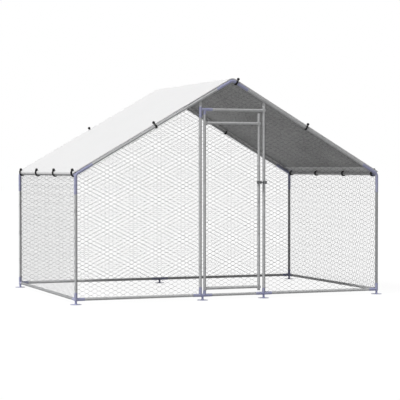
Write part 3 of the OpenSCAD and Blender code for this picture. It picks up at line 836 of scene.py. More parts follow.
@dataclass(frozen=True)
class MouldedFinish:
    """Moulded black plastic with a fine grain and light rub marks.

    Attributes:
        name: Name of the material.
        colour: Main colour.
        worn: Colour of the rub marks.
    """

    name: str
    colour: Shade
    worn: Shade

    def make(self) -> Material:
        """Makes the material."""
        graph = ShaderGraph(self.name)
        place = graph.place()
        grain = graph.noise(place, 1400.0, 2.0)
        rub = graph.span(graph.noise(place, 160.0, 4.0, 0.7), 0.0, 1.0, 0.58, 0.78)
        graph.set(
            Base_Color=graph.blend(rub, self.colour, self.worn),
            Roughness=graph.span(rub, 0.36, 0.6),
            Specular_IOR_Level=0.3,
        )
        graph.bump(grain, 0.00006, 0.4)
        return graph.material


@dataclass(frozen=True)
class BraidFinish:
    """Braided cover of an elastic cord, with pale flecks.

    Attributes:
        name: Name of the material.
        colour: Colour of the yarns.
        fleck: Colour of the flecks.
        yarn: Width of a yarn, in metres.
    """

    name: str
    colour: Shade
    fleck: Shade
    yarn: float = 0.0011

    def make(self) -> Material:
        """Makes the material."""
        graph = ShaderGraph(self.name)
        split = graph.add("ShaderNodeSeparateXYZ", Vector=graph.place(uv=True))
        across, along = split.outputs[0], split.outputs[1]
        turns = math.tau / (2 * self.yarn)
        lays = [
            graph.maths("SINE", graph.maths("MULTIPLY", graph.maths(way, along, across), turns))
            for way in ("ADD", "SUBTRACT")
        ]
        braid = graph.span(graph.maths("MULTIPLY", *lays), 0.0, 1.0, -1.0, 1.0)
        flecks = graph.span(graph.noise(graph.place(), 900.0, 2.0), 0.0, 1.0, 0.62, 0.72)
        graph.set(Base_Color=graph.blend(flecks, self.colour, self.fleck), Roughness=0.72, Specular_IOR_Level=0.2)
        graph.bump(braid, 0.0003, 0.7)
        return graph.material


@dataclass(frozen=True)
class DarkSteelFinish:
    """Dark zinc on pressed steel, rubbed bright in places.

    Attributes:
        name: Name of the material.
        dark: Main colour.
        bright: Colour where it is rubbed.
    """

    name: str
    dark: Shade
    bright: Shade

    def make(self) -> Material:
        """Makes the material."""
        graph = ShaderGraph(self.name)
        place = graph.place()
        rub = graph.span(graph.noise(place, 120.0, 5.0, 0.65), 0.0, 1.0, 0.5, 0.75)
        lines = graph.noise(graph.stretched(place, (60.0, 1500.0, 1500.0)), 1.0, 2.0)
        graph.set(
            Base_Color=graph.blend(rub, self.dark, self.bright),
            Metallic=0.75,
            Roughness=graph.span(lines, 0.32, 0.5, 0.3, 0.7),
        )
        graph.bump(lines, 0.00006, 0.3)
        return graph.material


@dataclass
class Finishes:
    """All materials of the run, each made once."""

    tube: Material = once(GalvanisedFinish("galvanised_tube", (0.66, 0.665, 0.67), (0.46, 0.465, 0.47)))
    # Darker copy of the tube zinc: painted shade for the tubes that should look shaded.
    dull_tube: Material = once(GalvanisedFinish("dull_tube", (0.44, 0.445, 0.45), (0.30, 0.305, 0.31)))
    # Paler copy of the tube zinc: painted light for the tubes in the shade of the cover.
    pale_tube: Material = once(GalvanisedFinish("pale_tube", (0.80, 0.805, 0.81), (0.58, 0.585, 0.59)))
    fastener: Material = once(GalvanisedFinish(
        "bright_fastener", (0.56, 0.56, 0.56), (0.40, 0.40, 0.41), crystal=400.0, rough=(0.25, 0.4), metal=0.6
    ))
    wire: Material = once(GalvanisedFinish(
        "netting_wire", (0.17, 0.173, 0.176), (0.10, 0.103, 0.106), crystal=160.0, rough=(0.4, 0.6), metal=0.15
    ))
    connector: Material = once(BlueZincFinish("blue_zinc", (0.37, 0.38, 0.58), (0.44, 0.45, 0.58)))
    cover_top: Material = once(WovenSheetFinish("cover_white", (0.84, 0.84, 0.84), (0.77, 0.77, 0.775)))
    cover_under: Material = once(WovenSheetFinish("cover_dark", (0.35, 0.35, 0.35), (0.145, 0.145, 0.145), slub=2.2))
    cover_hem: Material = once(WovenSheetFinish("cover_hem", (0.95, 0.95, 0.95), (0.90, 0.90, 0.90)))
    thread: Material = once(BraidFinish("hem_thread", (0.62, 0.62, 0.63), (0.75, 0.75, 0.75), yarn=0.0004))
    ball: Material = once(MouldedFinish("black_ball", (0.012, 0.012, 0.013), (0.045, 0.045, 0.045)))
    cord: Material = once(BraidFinish("black_braid", (0.014, 0.014, 0.015), (0.06, 0.06, 0.06)))
    latch: Material = once(DarkSteelFinish("dark_latch", (0.13, 0.135, 0.14), (0.34, 0.34, 0.34)))


# --- Tube frame ---


@dataclass
class TubeFrame:
    """Tubes, connectors, fasteners and latch, whose solids stay and get their finishes.

    Attributes:
        finishes: Materials of the run.
        bright: Nodes with the finish of a fastener.
        dull: Tubes with a darker copy of the zinc, as painted shade.
        pale: Tubes with a paler copy of the zinc, as painted light that lifts them out of the shade under the cover.
        feet: Places of the stems of the feet.
        stem_r: Radius of a stem.
        foot_t: Thickness of a foot plate.
        bead_r: Radius of a weld bead.
        bead_steps: Points of a bead's ring.
        ripples: Ripples round a bead.
        ripple: Depth of a ripple, as a share of the bead's height.
    """

    finishes: Finishes
    bright: tuple[str, ...] = ("frame_bolts", "door_bolts", "keeper_screws", "latch_screws", "roof_eyelets")
    dull: tuple[str, ...] = ("eave_tube_left", "base_rail_left", "post_front_right")
    pale: tuple[str, ...] = (
        "base_rail_back_left", "base_rail_back_right", "base_rail_right", "post_back_left", "post_back_right",
        "eave_tube_right",
    )
    feet: tuple[Flat, ...] = (
        (-1.4875, -0.9875), (1.4875, -0.9875), (-1.4875, 0.9875), (1.4875, 0.9875),
        (0.0, 0.9875), (-0.293, -0.9875), (0.313, -0.9875),
    )
    stem_r: float = 0.010
    foot_t: float = 0.003
    bead_r: float = 0.0022
    bead_steps: int = 40
    ripples: int = 13
    ripple: float = 0.10

    def dress(self) -> None:
        """Gives each solid that stays in view its finish."""
        by_slot = {
            Slot.TUBE.value: self.finishes.tube,
            Slot.CONNECTOR.value: self.finishes.connector,
            Slot.LATCH.value: self.finishes.latch,
        }
        by_name = {
            **dict.fromkeys(self.bright, self.finishes.fastener),
            # The darker copy of the zinc paints shade onto the tubes listed in dull.
            **dict.fromkeys(self.dull, self.finishes.dull_tube),
            # The paler copy of the zinc paints light onto the tubes listed in pale.
            **dict.fromkeys(self.pale, self.finishes.pale_tube),
        }
        for row in frame["record"]["subparts"]:
            name, slot = row["node"], row["material_slot"]
            if slot not in by_slot:
                continue
            mesh = frame["nodes"][name].data
            mesh.materials.clear()
            mesh.materials.append(by_name.get(name, by_slot[slot]))
            LOG.info("%s dressed", name)

    def build(self, repeat: GeometryTree) -> None:
        """Adds the weld beads between stems and foot plates.

        Args:
            repeat: Tree that sets a unit on points.
        """
        turns = np.arange(self.bead_steps) * math.tau / self.bead_steps
        out = self.stem_r + 0.4 * self.bead_r
        height = 0.25 * self.bead_r * (1.0 + self.ripple * np.cos(self.ripples * turns))
        ring = np.column_stack([out * np.cos(turns), out * np.sin(turns), height])
        unit = tube_mesh("weld_unit", ring, self.bead_r, 8, closed=True)
        places = [(Vector((x, y, self.foot_t)), Matrix.Identity(3)) for x, y in self.feet]
        beads = set_units("foot_weld_beads", unit, places, repeat, self.finishes.connector)
        settle(beads, Body.FRAME, Slot.CONNECTOR)


# --- Netting ---


@dataclass(frozen=True)
class NetPanel:
    """One flat net: its outline in its own plane and how the plane stands.

    Attributes:
        name: Name of the piece.
        node: Node that it stands for.
        body: Body that it rides on.
        outline: Corners in the plane, anticlockwise.
        across: Direction of the plane's first axis.
        base: Point of the plane at its origin.
        start: Place of one twist in the plane, from which the meshes are counted.
        lay: Direction of its twists.
        rows: Range over the twists within which this piece holds wires.
    """

    name: str
    node: str
    body: Body
    outline: tuple[Flat, ...]
    across: Point
    base: Point
    start: Flat
    lay: Lay = Lay.LEVEL
    rows: Flat = (-FAR, FAR)


@dataclass
class WireNetting:
    """Hexagonal netting of twisted wire, level in the gables and the door and upright in the side walls.

    Attributes:
        finishes: Materials of the run.
        lay: Direction of the twists of the nets that are made.
        column: Distance between columns of twists.
        row: Distance between the twists of a column.
        twist: Length of a twist.
        turns: Turns of a twist.
        steps: Straight steps along a twist.
        slack: Distance of a wire from the twist's axis, as a share of its radius.
        wire_r: Radius of the wire.
        sides: Sides of the wire.
        edge_pair: Half the distance between the two wires of an edge.
        back_cuts: Heights at which the back net is cut into pieces.
        starts: Place of one twist in the plane of each net.
    """

    finishes: Finishes
    lay: Lay = Lay.LEVEL
    column: float = 0.03775
    row: float = 0.03825
    twist: float = 0.018
    turns: int = 2
    steps: int = 8
    slack: float = 1.05
    wire_r: float = 0.0009
    sides: int = 4
    edge_pair: float = 0.0006
    back_cuts: Flat = (0.56, 1.09)
    starts: dict[str, Flat] = field(default_factory=lambda: {
        "net_front_left": (0.0078, -0.0005),
        "net_front_right": (0.0054, 0.0029),
        "net_gable": (0.0064, 0.0012),
        "net_door": (0.0064, 0.0012),
        "net_back": (-0.004, 0.0098),
        "net_left": (0.0, -0.0095),
        "net_right": (-0.0138, -0.0015),
    })

    def panels(self) -> list[NetPanel]:
        """Works out the outline of every net from the frame's sizes.

        Returns:
            The nets, the larger ones in two or three pieces.
        """
        run = RUN
        clear = run.sleeve_r + run.net_gap
        jamb = run.tab_half + run.net_gap
        stile = run.tube_r + run.net_gap
        under = run.sleeve_r + 2 * run.cord_r + 2 * run.net_gap
        eave_clear = run.tube_r + 2 * run.cord_r + 2 * run.net_gap
        corner = (run.bend_r - run.sleeve_r) / math.tan(run.eave_half) + run.net_gap
        side, low = run.post_x - clear, run.rail_z + clear

        def top(x: float) -> float:
            """Height of a net's upper edge under the rafters."""
            return run.rafter_z(x) - under / math.cos(run.pitch)

        peak = corner * math.cos(run.pitch)
        shoulder = ((side, top(side) - corner), (side - corner, top(side - corner)))
        back = (
            (-side, low), (side, low), *shoulder, (peak, top(peak)),
            (-peak, top(peak)), *((-x, z) for x, z in reversed(shoulder)),
        )
        inner = run.jamb_x + jamb
        right = ((inner, low), (side, low), *shoulder, (inner, top(inner)))
        left = tuple((-x, z) for x, z in reversed(right))
        gable_side = run.jamb_x - jamb
        gable_low = run.header_z + clear
        gable = (
            (-gable_side, gable_low), (gable_side, gable_low), (gable_side, top(gable_side)), (peak, top(peak)),
            (-peak, top(peak)), (-gable_side, top(gable_side)),
        )
        end, high = run.post_y - clear, run.eave_tube[1] - eave_clear
        wall = ((-end, low), (end, low), (end, high), (-end, high))
        door_left, door_right = run.hinge_x + stile, run.latch_x - stile
        door_low, door_high = run.door_low_z + clear, run.door_high_z - clear
        door = ((door_left, door_low), (door_right, door_low), (door_right, door_high), (door_left, door_high))
        along_x, along_y = (1.0, 0.0, 0.0), (0.0, 1.0, 0.0)
        front, rear = (0.0, -run.post_y, 0.0), (0.0, run.post_y, 0.0)
        panels = [
            NetPanel(name, node, body, outline, along_x, front, self.starts[name])
            for name, node, body, outline in (
                ("net_front_left", "wall_net_front_left", Body.FRAME, left),
                ("net_front_right", "wall_net_front_right", Body.FRAME, right),
                ("net_gable", "gable_net", Body.FRAME, gable),
                ("net_door", "door_net", Body.DOOR, door),
            )
        ]
        cuts, start = (-FAR, *self.back_cuts, FAR), self.starts["net_back"]
        for name, *rows in zip(("low", "middle", "high"), cuts, cuts[1:]):
            panels.append(NetPanel(
                f"net_back_{name}", "wall_net_back", Body.FRAME, back, along_x, rear, start, Lay.LEVEL, tuple(rows)
            ))
        for wall_side in Side:
            word = wall_side.name.lower()
            base, start = (wall_side.value * run.post_x, 0.0, 0.0), self.starts[f"net_{word}"]
            for name, rows in (("front", (-FAR, 0.0)), ("back", (0.0, FAR))):
                panels.append(NetPanel(
                    f"net_{word}_{name}", f"wall_net_{word}", Body.FRAME, wall, along_y, base, start, Lay.UPRIGHT, rows
                ))
        return panels

    def wire(self, level: float, upper: bool, first: int, last: int) -> np.ndarray:
        """Path of one wire, which is twisted with its neighbours by turns.

        Args:
            level: Height of its twists in the even columns.
            upper: Whether it lies above its partner there, and so rises to the odd columns.
            first: First column.
            last: Last column.

        Returns:
            Points as run along the net, height and depth.
        """
        columns = np.arange(first, last + 1)
        odd = columns % 2 != 0
        sign = 1.0 if upper else -1.0
        middle = level + np.where(odd, sign * self.row / 2, 0.0)
        start = np.where(odd, -sign, sign) * math.pi / 2
        share = np.linspace(0.0, 1.0, self.steps + 1)
        angle = start[:, None] + math.tau * self.turns * share[None, :]
        run = columns[:, None] * self.column + self.twist * (share[None, :] - 0.5)
        height = middle[:, None] + self.slack * self.wire_r * np.sin(angle)
        depth = self.slack * self.wire_r * np.cos(angle)
        return np.stack([run, height, depth], -1).reshape(-1, 3)

    @staticmethod
    def clipped(path: np.ndarray, outline: np.ndarray) -> list[np.ndarray]:
        """Stretches of a path inside a convex outline, cut to end on it.

        Args:
            path: Points of the path.
            outline: Corners of the outline, anticlockwise.

        Returns:
            The stretches.
        """
        sides = np.roll(outline, -1, 0) - outline
        normals = np.stack([-sides[:, 1], sides[:, 0]], 1) / np.linalg.norm(sides, axis=1, keepdims=True)
        depth = np.min(np.einsum("pik,ik->pi", path[:, None, :2] - outline[None], normals), axis=1)
        inside = depth > 0
        pieces: list[np.ndarray] = []
        i = 0
        while i < len(path):
            if not inside[i]:
                i += 1
                continue
            j = i
            while j + 1 < len(path) and inside[j + 1]:
                j += 1
            points = path[i:j + 1]
            if i > 0:
                share = depth[i] / (depth[i] - depth[i - 1])
                points = np.vstack([path[i] + share * (path[i - 1] - path[i]), points])
            if j + 1 < len(path):
                share = depth[j] / (depth[j] - depth[j + 1])
                points = np.vstack([points, path[j] + share * (path[j + 1] - path[j])])
            if len(points) > 1:
                pieces.append(points)
            i = j + 1
        return pieces

    def paths(self, panel: NetPanel) -> list[np.ndarray]:
        """Paths of all wires of a net.

        Args:
            panel: The net.

        Returns:
            Open paths, with the doubled edge wire last.
        """
        outline = np.array(panel.outline) - np.array(panel.start)
        if panel.lay is Lay.UPRIGHT:
            outline = outline[::-1, ::-1]
        low, high = outline.min(0), outline.max(0)
        first, last = math.floor(low[0] / self.column) - 1, math.ceil(high[0] / self.column) + 1
        levels = np.arange(math.floor(low[1] / self.row) - 1, math.ceil(high[1] / self.row) + 2) * self.row
        flat: list[np.ndarray] = []
        for level in levels:
            if not panel.rows[0] <= level < panel.rows[1]:
                continue
            for upper in (True, False):
                flat += self.clipped(self.wire(level, upper, first, last), outline)
        if panel.rows[0] < 0:
            loop = np.vstack([outline, outline[:1]])
            for offset in (-self.edge_pair, self.edge_pair):
                flat.append(np.column_stack([loop, np.full(len(loop), offset)]))
        across, up = np.array(panel.across), np.array((0.0, 0.0, 1.0))
        base = np.array(panel.base) + panel.start[0] * across + panel.start[1] * up
        through = np.cross(across, up)
        if panel.lay is Lay.UPRIGHT:
            across, up = up, across
        plane = np.stack([across, up, through])
        return [base + p @ plane for p in flat]

    def build(self, sweep: GeometryTree) -> None:
        """Makes every net whose twists lie its way.

        Args:
            sweep: Tree that sweeps a wire along paths.
        """
        values = {"Wire Radius": self.wire_r, "Sides": self.sides, "Finish": self.finishes.wire}
        for panel in self.panels():
            if panel.lay is self.lay:
                net = sweep.run(panel.name, path_mesh(panel.name + "_paths", self.paths(panel)), values)
                settle(net, panel.body, Slot.NETTING, panel.node)


@dataclass
class NetTies:
    """Short wire wraps that hold the edges of the nets on the tubes.

    Attributes:
        finishes: Materials of the run.
        wire_r: Radius of the wire.
        wraps: Turns of a wrap.
        around: Points of a turn.
        pitch: Distance between turns.
        reach: How far a turn stands out to the net's edge.
        spacing: About the distance between wraps.
        post_ends: Bare lengths of a post over its rail and under its eave.
        stagger: How much higher the wraps of the side walls lie on the posts.
        rafter_span: Shares of a rafter between which the wraps lie.
        rail_end: Bare length at the ends of a rail.
        eave_end: Bare length at the ends of an eave tube.
        rail_starts: Where the wraps of the front and the back rails start from the middle.
        jamb_span: Heights between which the wraps of a jamb lie.
        header_span: Places between which the wraps of the header lie.
        door_end: Bare length at the ends of the door's tubes.
        latch_span: Heights between which the latch leaves no room for a wrap.
    """

    finishes: Finishes
    wire_r: float = 0.0006
    wraps: int = 3
    around: int = 12
    pitch: float = 0.0026
    reach: float = 0.0032
    spacing: float = 0.30
    post_ends: Flat = (0.09, 0.20)
    stagger: float = 0.02
    rafter_span: Flat = (0.20, 0.90)
    rail_end: float = 0.12
    eave_end: float = 0.16
    rail_starts: Flat = (0.42, 0.14)
    jamb_span: Flat = (0.16, 1.62)
    header_span: Flat = (-0.18, 0.26)
    door_end: float = 0.05
    latch_span: Flat = (1.04, 1.10)

    def unit(self) -> Mesh:
        """One wrap about the Z axis that reaches out along X to the net's edge."""
        turns = np.arange(self.wraps * self.around + 1) / self.around
        angle = math.tau * turns + math.pi
        radius = RUN.tube_r + 1.1 * self.wire_r
        out = radius * np.cos(angle) + self.reach * np.maximum(0.0, np.cos(angle)) ** 3
        path = np.column_stack([out, radius * np.sin(angle), self.pitch * (turns - self.wraps / 2)])
        return tube_mesh("tie_unit", path, self.wire_r, 4)

    def along(self, start: Point, end: Point, towards: Point) -> list[Placed]:
        """Evenly spaced wraps along a tube.

        Args:
            start: One end of the stretch of tube.
            end: Its other end.
            towards: Direction from the tube to the net.

        Returns:
            Place and turn of each wrap.
        """
        a, b = Vector(start), Vector(end)
        axis = (b - a).normalized()
        out = Vector(towards)
        out = (out - axis * out.dot(axis)).normalized()
        turn = Matrix((out, axis.cross(out), axis)).transposed()
        count = max(2, round((b - a).length / self.spacing))
        return [(a.lerp(b, (i + 0.5) / count), turn) for i in range(count)]

    def frame_places(self) -> list[Placed]:
        """Places of all wraps on the fixed frame."""
        run = RUN
        places: list[Placed] = []
        x, y, rail_z = run.post_x, run.post_y, run.rail_z
        low, high = rail_z + self.post_ends[0], run.eave_z - self.post_ends[1]
        eave_x, eave_z = run.eave_tube
        for gable in Gable:
            for side in Side:
                px, py = side.value * x, gable.value * y
                places += self.along((px, py, low), (px, py, high), (-side.value, 0, 0))
                places += self.along(
                    (px, py, low + self.stagger), (px, py, high + self.stagger), (0, -gable.value, 0)
                )
                ends = [(px * (1 - t), py, run.rafter_z(x * (1 - t))) for t in self.rafter_span]
                places += self.along(*ends, (0, 0, -1))
        for side in Side:
            sign = side.value
            for px, pz, bare, way in ((sign * x, rail_z, self.rail_end, 1), (sign * eave_x, eave_z, self.eave_end, -1)):
                places += self.along((px, bare - y, pz), (px, y - bare, pz), (0, 0, way))
            for start, py in zip(self.rail_starts, (-y, y)):
                places += self.along((sign * start, py, rail_z), (sign * (x - self.rail_end), py, rail_z), (0, 0, 1))
            low_end, high_end = ((sign * run.jamb_x, -y, z) for z in self.jamb_span)
            places += self.along(low_end, high_end, (sign, 0, 0))
        left_end, right_end = ((px, -y, run.header_z) for px in self.header_span)
        return places + self.along(left_end, right_end, (0, 0, 1))

    def door_places(self) -> list[Placed]:
        """Places of all wraps on the door."""
        run = RUN
        y, low, high = -run.post_y, run.door_low_z, run.door_high_z
        first, last = low + self.door_end, high - self.door_end
        left, right = run.hinge_x + self.door_end, run.latch_x - self.door_end
        places: list[Placed] = []
        for x, start, end, way in (
            (run.hinge_x, first, last, 1), (run.latch_x, first, self.latch_span[0], -1),
            (run.latch_x, self.latch_span[1], last, -1),
        ):
            places += self.along((x, y, start), (x, y, end), (way, 0, 0))
        for z, way in ((low, 1), (high, -1)):
            places += self.along((left, y, z), (right, y, z), (0, 0, way))
        return places

    def build(self, repeat: GeometryTree) -> None:
        """Makes the wraps of the frame and of the door.

        Args:
            repeat: Tree that sets a unit on points.
        """
        for name, body, places in (
            ("net_ties_frame", Body.FRAME, self.frame_places()),
            ("net_ties_door", Body.DOOR, self.door_places()),
        ):
            settle(set_units(name, self.unit(), places, repeat, self.finishes.fastener), body, Slot.NETTING)


# --- Roof cover and bungees ---


@dataclass(frozen=True)
class BungeePlace:
    """One bungee: where it grips its tube, how it is turned, and how high the cover lies there.

    Attributes:
        place: Point on the tube's axis.
        turn: Turn from a tube along Y with the cover above it.
        wrap_r: Radius of the cord's loop.
        cover_low: Height of the cover's underside over the tube's axis.
        route: Points that a slack cord passes from the inside of its ball round the tube, where it isn't taut.
        inset: Distance of the ball up the slope from the tube's axis.
    """

    place: Vector
    turn: Matrix
    wrap_r: float
    cover_low: float
    route: tuple[Flat, ...] = ()
    inset: float = 0.0


@dataclass
class BallBungees:
    """Doubled elastic loops with a ball, which hold the cover's eyelets on the tubes.

    Attributes:
        finishes: Materials of the run.
        ball_r: Radius of a ball.
        ball_rings: Rings of a ball between its ends.
        ball_seam: Height of the seam round a ball, as a share of its radius.
        ball_hole: Radius and height of the rings of the hole in its top, as shares of its radius.
        cord_r: Radius of a cord where it is stretched thin.
        stout: Radius of a cord where it is slack.
        neck: Shares of the cover's height where a cord starts to thin, and over which it does.
        beside: Distance of a cord from its loop's plane, as a share of its radius.
        apart: Gap between the cords of a slack loop, on each side of its plane.
        grip: Where a taut cord enters its ball, as a share of the ball's radius.
        arc_points: Points of a taut cord round its tube.
        rise_points: Points of a taut cord between its ball and the tube.
        rounds: How many times the corners of a slack cord's route are cut.
        gap: Gap between pieces that touch.
        sheet: Thickness that the ball lies on.
        per_eave: Bungees of an eave.
        eave_end: Place of the last bungee of an eave.
        peak_at: Distance of a peak's bungee from the peak.
        hole_x: Least distance up the slope at which a slack cord thins.
        eave_inset: Distance of an eave's ball up the slope from the tube's axis.
        eave_route: Points that an eave's cord passes.
    """

    finishes: Finishes
    ball_r: float = 0.0135
    ball_rings: int = 11
    ball_seam: float = 0.025
    ball_hole: tuple[Flat, ...] = ((0.18, 0.94), (0.16, 0.80), (0.0, 0.78))
    cord_r: float = RUN.cord_r
    stout: float = 0.0044
    neck: Flat = (0.55, 0.35)
    beside: float = 1.02
    apart: float = 0.006
    grip: float = 0.6
    arc_points: int = 25
    rise_points: int = 6
    rounds: int = 2
    gap: float = 0.0003
    sheet: float = 0.0018
    per_eave: int = 4
    eave_end: float = 0.9155
    peak_at: float = 0.045
    hole_x: float = 0.008
    eave_inset: float = 0.008
    eave_route: tuple[Flat, ...] = (
        (0.0096, 0.0400), (0.0101, 0.0340), (0.0104, 0.0285), (0.0130, 0.0220), (0.0190, 0.0140), (0.0220, 0.0050),
        (0.0205, -0.0050), (0.0130, -0.0145), (0.0030, -0.0186), (-0.0080, -0.0176), (-0.0155, -0.0115),
        (-0.0190, -0.0025), (-0.0200, 0.0060), (-0.0196, 0.0130), (-0.0166, 0.0220), (-0.0124, 0.0290),
        (-0.0060, 0.0365), (0.0015, 0.0420),
    )

    def places(self) -> list[BungeePlace]:
        """Works out where every bungee grips.

        Returns:
            Those of both eaves, of the four rafters and of both peaks.
        """
        run = RUN
        wrap = run.tube_r + self.gap + self.cord_r
        peak_wrap = run.sleeve_r + self.gap + self.cord_r
        x, z = run.eave_tube
        found: list[BungeePlace] = []
        for side in Side:
            turn = Matrix.Rotation(side.value * run.pitch, 3, "Y") @ Matrix.Diagonal((-side.value, -side.value, 1))
            for y in np.linspace(-self.eave_end, self.eave_end, self.per_eave):
                spot = Vector((side.value * x, y, z))
                found.append(BungeePlace(spot, turn, wrap, run.eave_cover_low, self.eave_route, self.eave_inset))
        for gable in Gable:
            spots = [(side.value, run.slope_len / 2, wrap) for side in Side] + [(1, self.peak_at, peak_wrap)]
            for sign, down, radius in spots:
                out, high = down * math.cos(run.pitch), run.ridge_z - down * math.sin(run.pitch)
                place = Vector((sign * out, gable.value * run.post_y, high))
                turn = Matrix.Rotation(sign * run.pitch, 3, "Y") @ Matrix.Rotation(math.pi / 2, 3, "Z")
                found.append(BungeePlace(place, turn, radius, run.cover_low))
        return found

    def ball_at(self, bungee: BungeePlace) -> float:
        """Height of a ball's middle over its tube's axis."""
        return bungee.cover_low + self.sheet + self.gap + self.ball_r

    def loop(self, bungee: BungeePlace) -> np.ndarray:
        """Path of a cord, from the inner side of its ball round the tube to the outer side.

        Args:
            bungee: The bungee.

        Returns:
            Points in the bungee's own frame.
        """
        if bungee.route:
            path = np.array([(x, 0.0, z) for x, z in bungee.route])
            for _ in range(self.rounds):
                cut = np.stack([0.75 * path[:-1] + 0.25 * path[1:], 0.25 * path[:-1] + 0.75 * path[1:]], 1)
                path = np.vstack([path[:1], cut.reshape(-1, 3), path[-1:]])
            return path
        top, reach = self.ball_at(bungee), self.grip * self.ball_r
        wrap = bungee.wrap_r + self.stout - self.cord_r
        lean = math.atan2(top, reach) - math.acos(wrap / math.hypot(reach, top))
        angles = np.linspace(lean, -math.pi - lean, self.arc_points)
        arc = [(wrap * math.cos(a), 0.0, wrap * math.sin(a)) for a in angles]
        shares = np.arange(self.rise_points) / self.rise_points
        rise = [(1 - t) * np.array((reach, 0.0, top)) + t * np.array(arc[0]) for t in shares]
        return np.array([*rise, *arc, *(p * np.array((-1, 1, 1)) for p in reversed(rise))])

    def strand(self, bungee: BungeePlace, side: Side) -> Mesh:
        """One of the two cords that lie side by side, drawn together where they enter the cover and the ball.

        Args:
            bungee: The bungee.
            side: Which of the two.

        Returns:
            The cord in its place.
        """
        path = self.loop(bungee)
        start, over = (share * bungee.cover_low for share in self.neck)
        high = np.clip((path[:, 2] - start) / over, 0.0, 1.0)
        if bungee.route:
            high = np.where(path[:, 0] > self.hole_x, high, 0.0)
        girth = self.stout + (self.cord_r - self.stout) * high
        apart = self.apart * (1.0 - high) if bungee.route else 0.0
        path[:, 1] = side.value * (self.beside * girth + apart)
        mesh = tube_mesh("cord", path, girth, 10)
        mesh.transform(Matrix.Translation(bungee.place) @ bungee.turn.to_4x4())
        return mesh

    def build(self, repeat: GeometryTree) -> None:
        """Makes the cords and the balls.

        Args:
            repeat: Tree that sets a unit on points.
        """
        places = self.places()
        strands = [self.strand(bungee, side) for bungee in places for side in Side]
        whole = joined("bungee_cords", strands, [self.finishes.cord])
        settle(show("bungee_cords", whole), Body.FRAME, Slot.BUNGEE, "eave_bungees_set", "gable_bungees_set")

        middle = self.ball_rings // 2
        profile = [(0.0, -1.0)]
        for i, angle in enumerate(np.radians(np.linspace(-75, 75, self.ball_rings))):
            seam = 1.0 + (self.ball_seam if i == middle else 0.0)
            profile.append((seam * math.cos(angle), math.sin(angle)))
        profile = [(self.ball_r * out, self.ball_r * high) for out, high in (*profile, *self.ball_hole)]
        points = [(b.place + b.turn @ Vector((b.inset, 0, self.ball_at(b))), b.turn) for b in places]
        balls = set_units("bungee_balls", lathe_mesh("ball_unit", profile, 20), points, repeat, self.finishes.ball)
        settle(balls, Body.FRAME, Slot.BUNGEE)


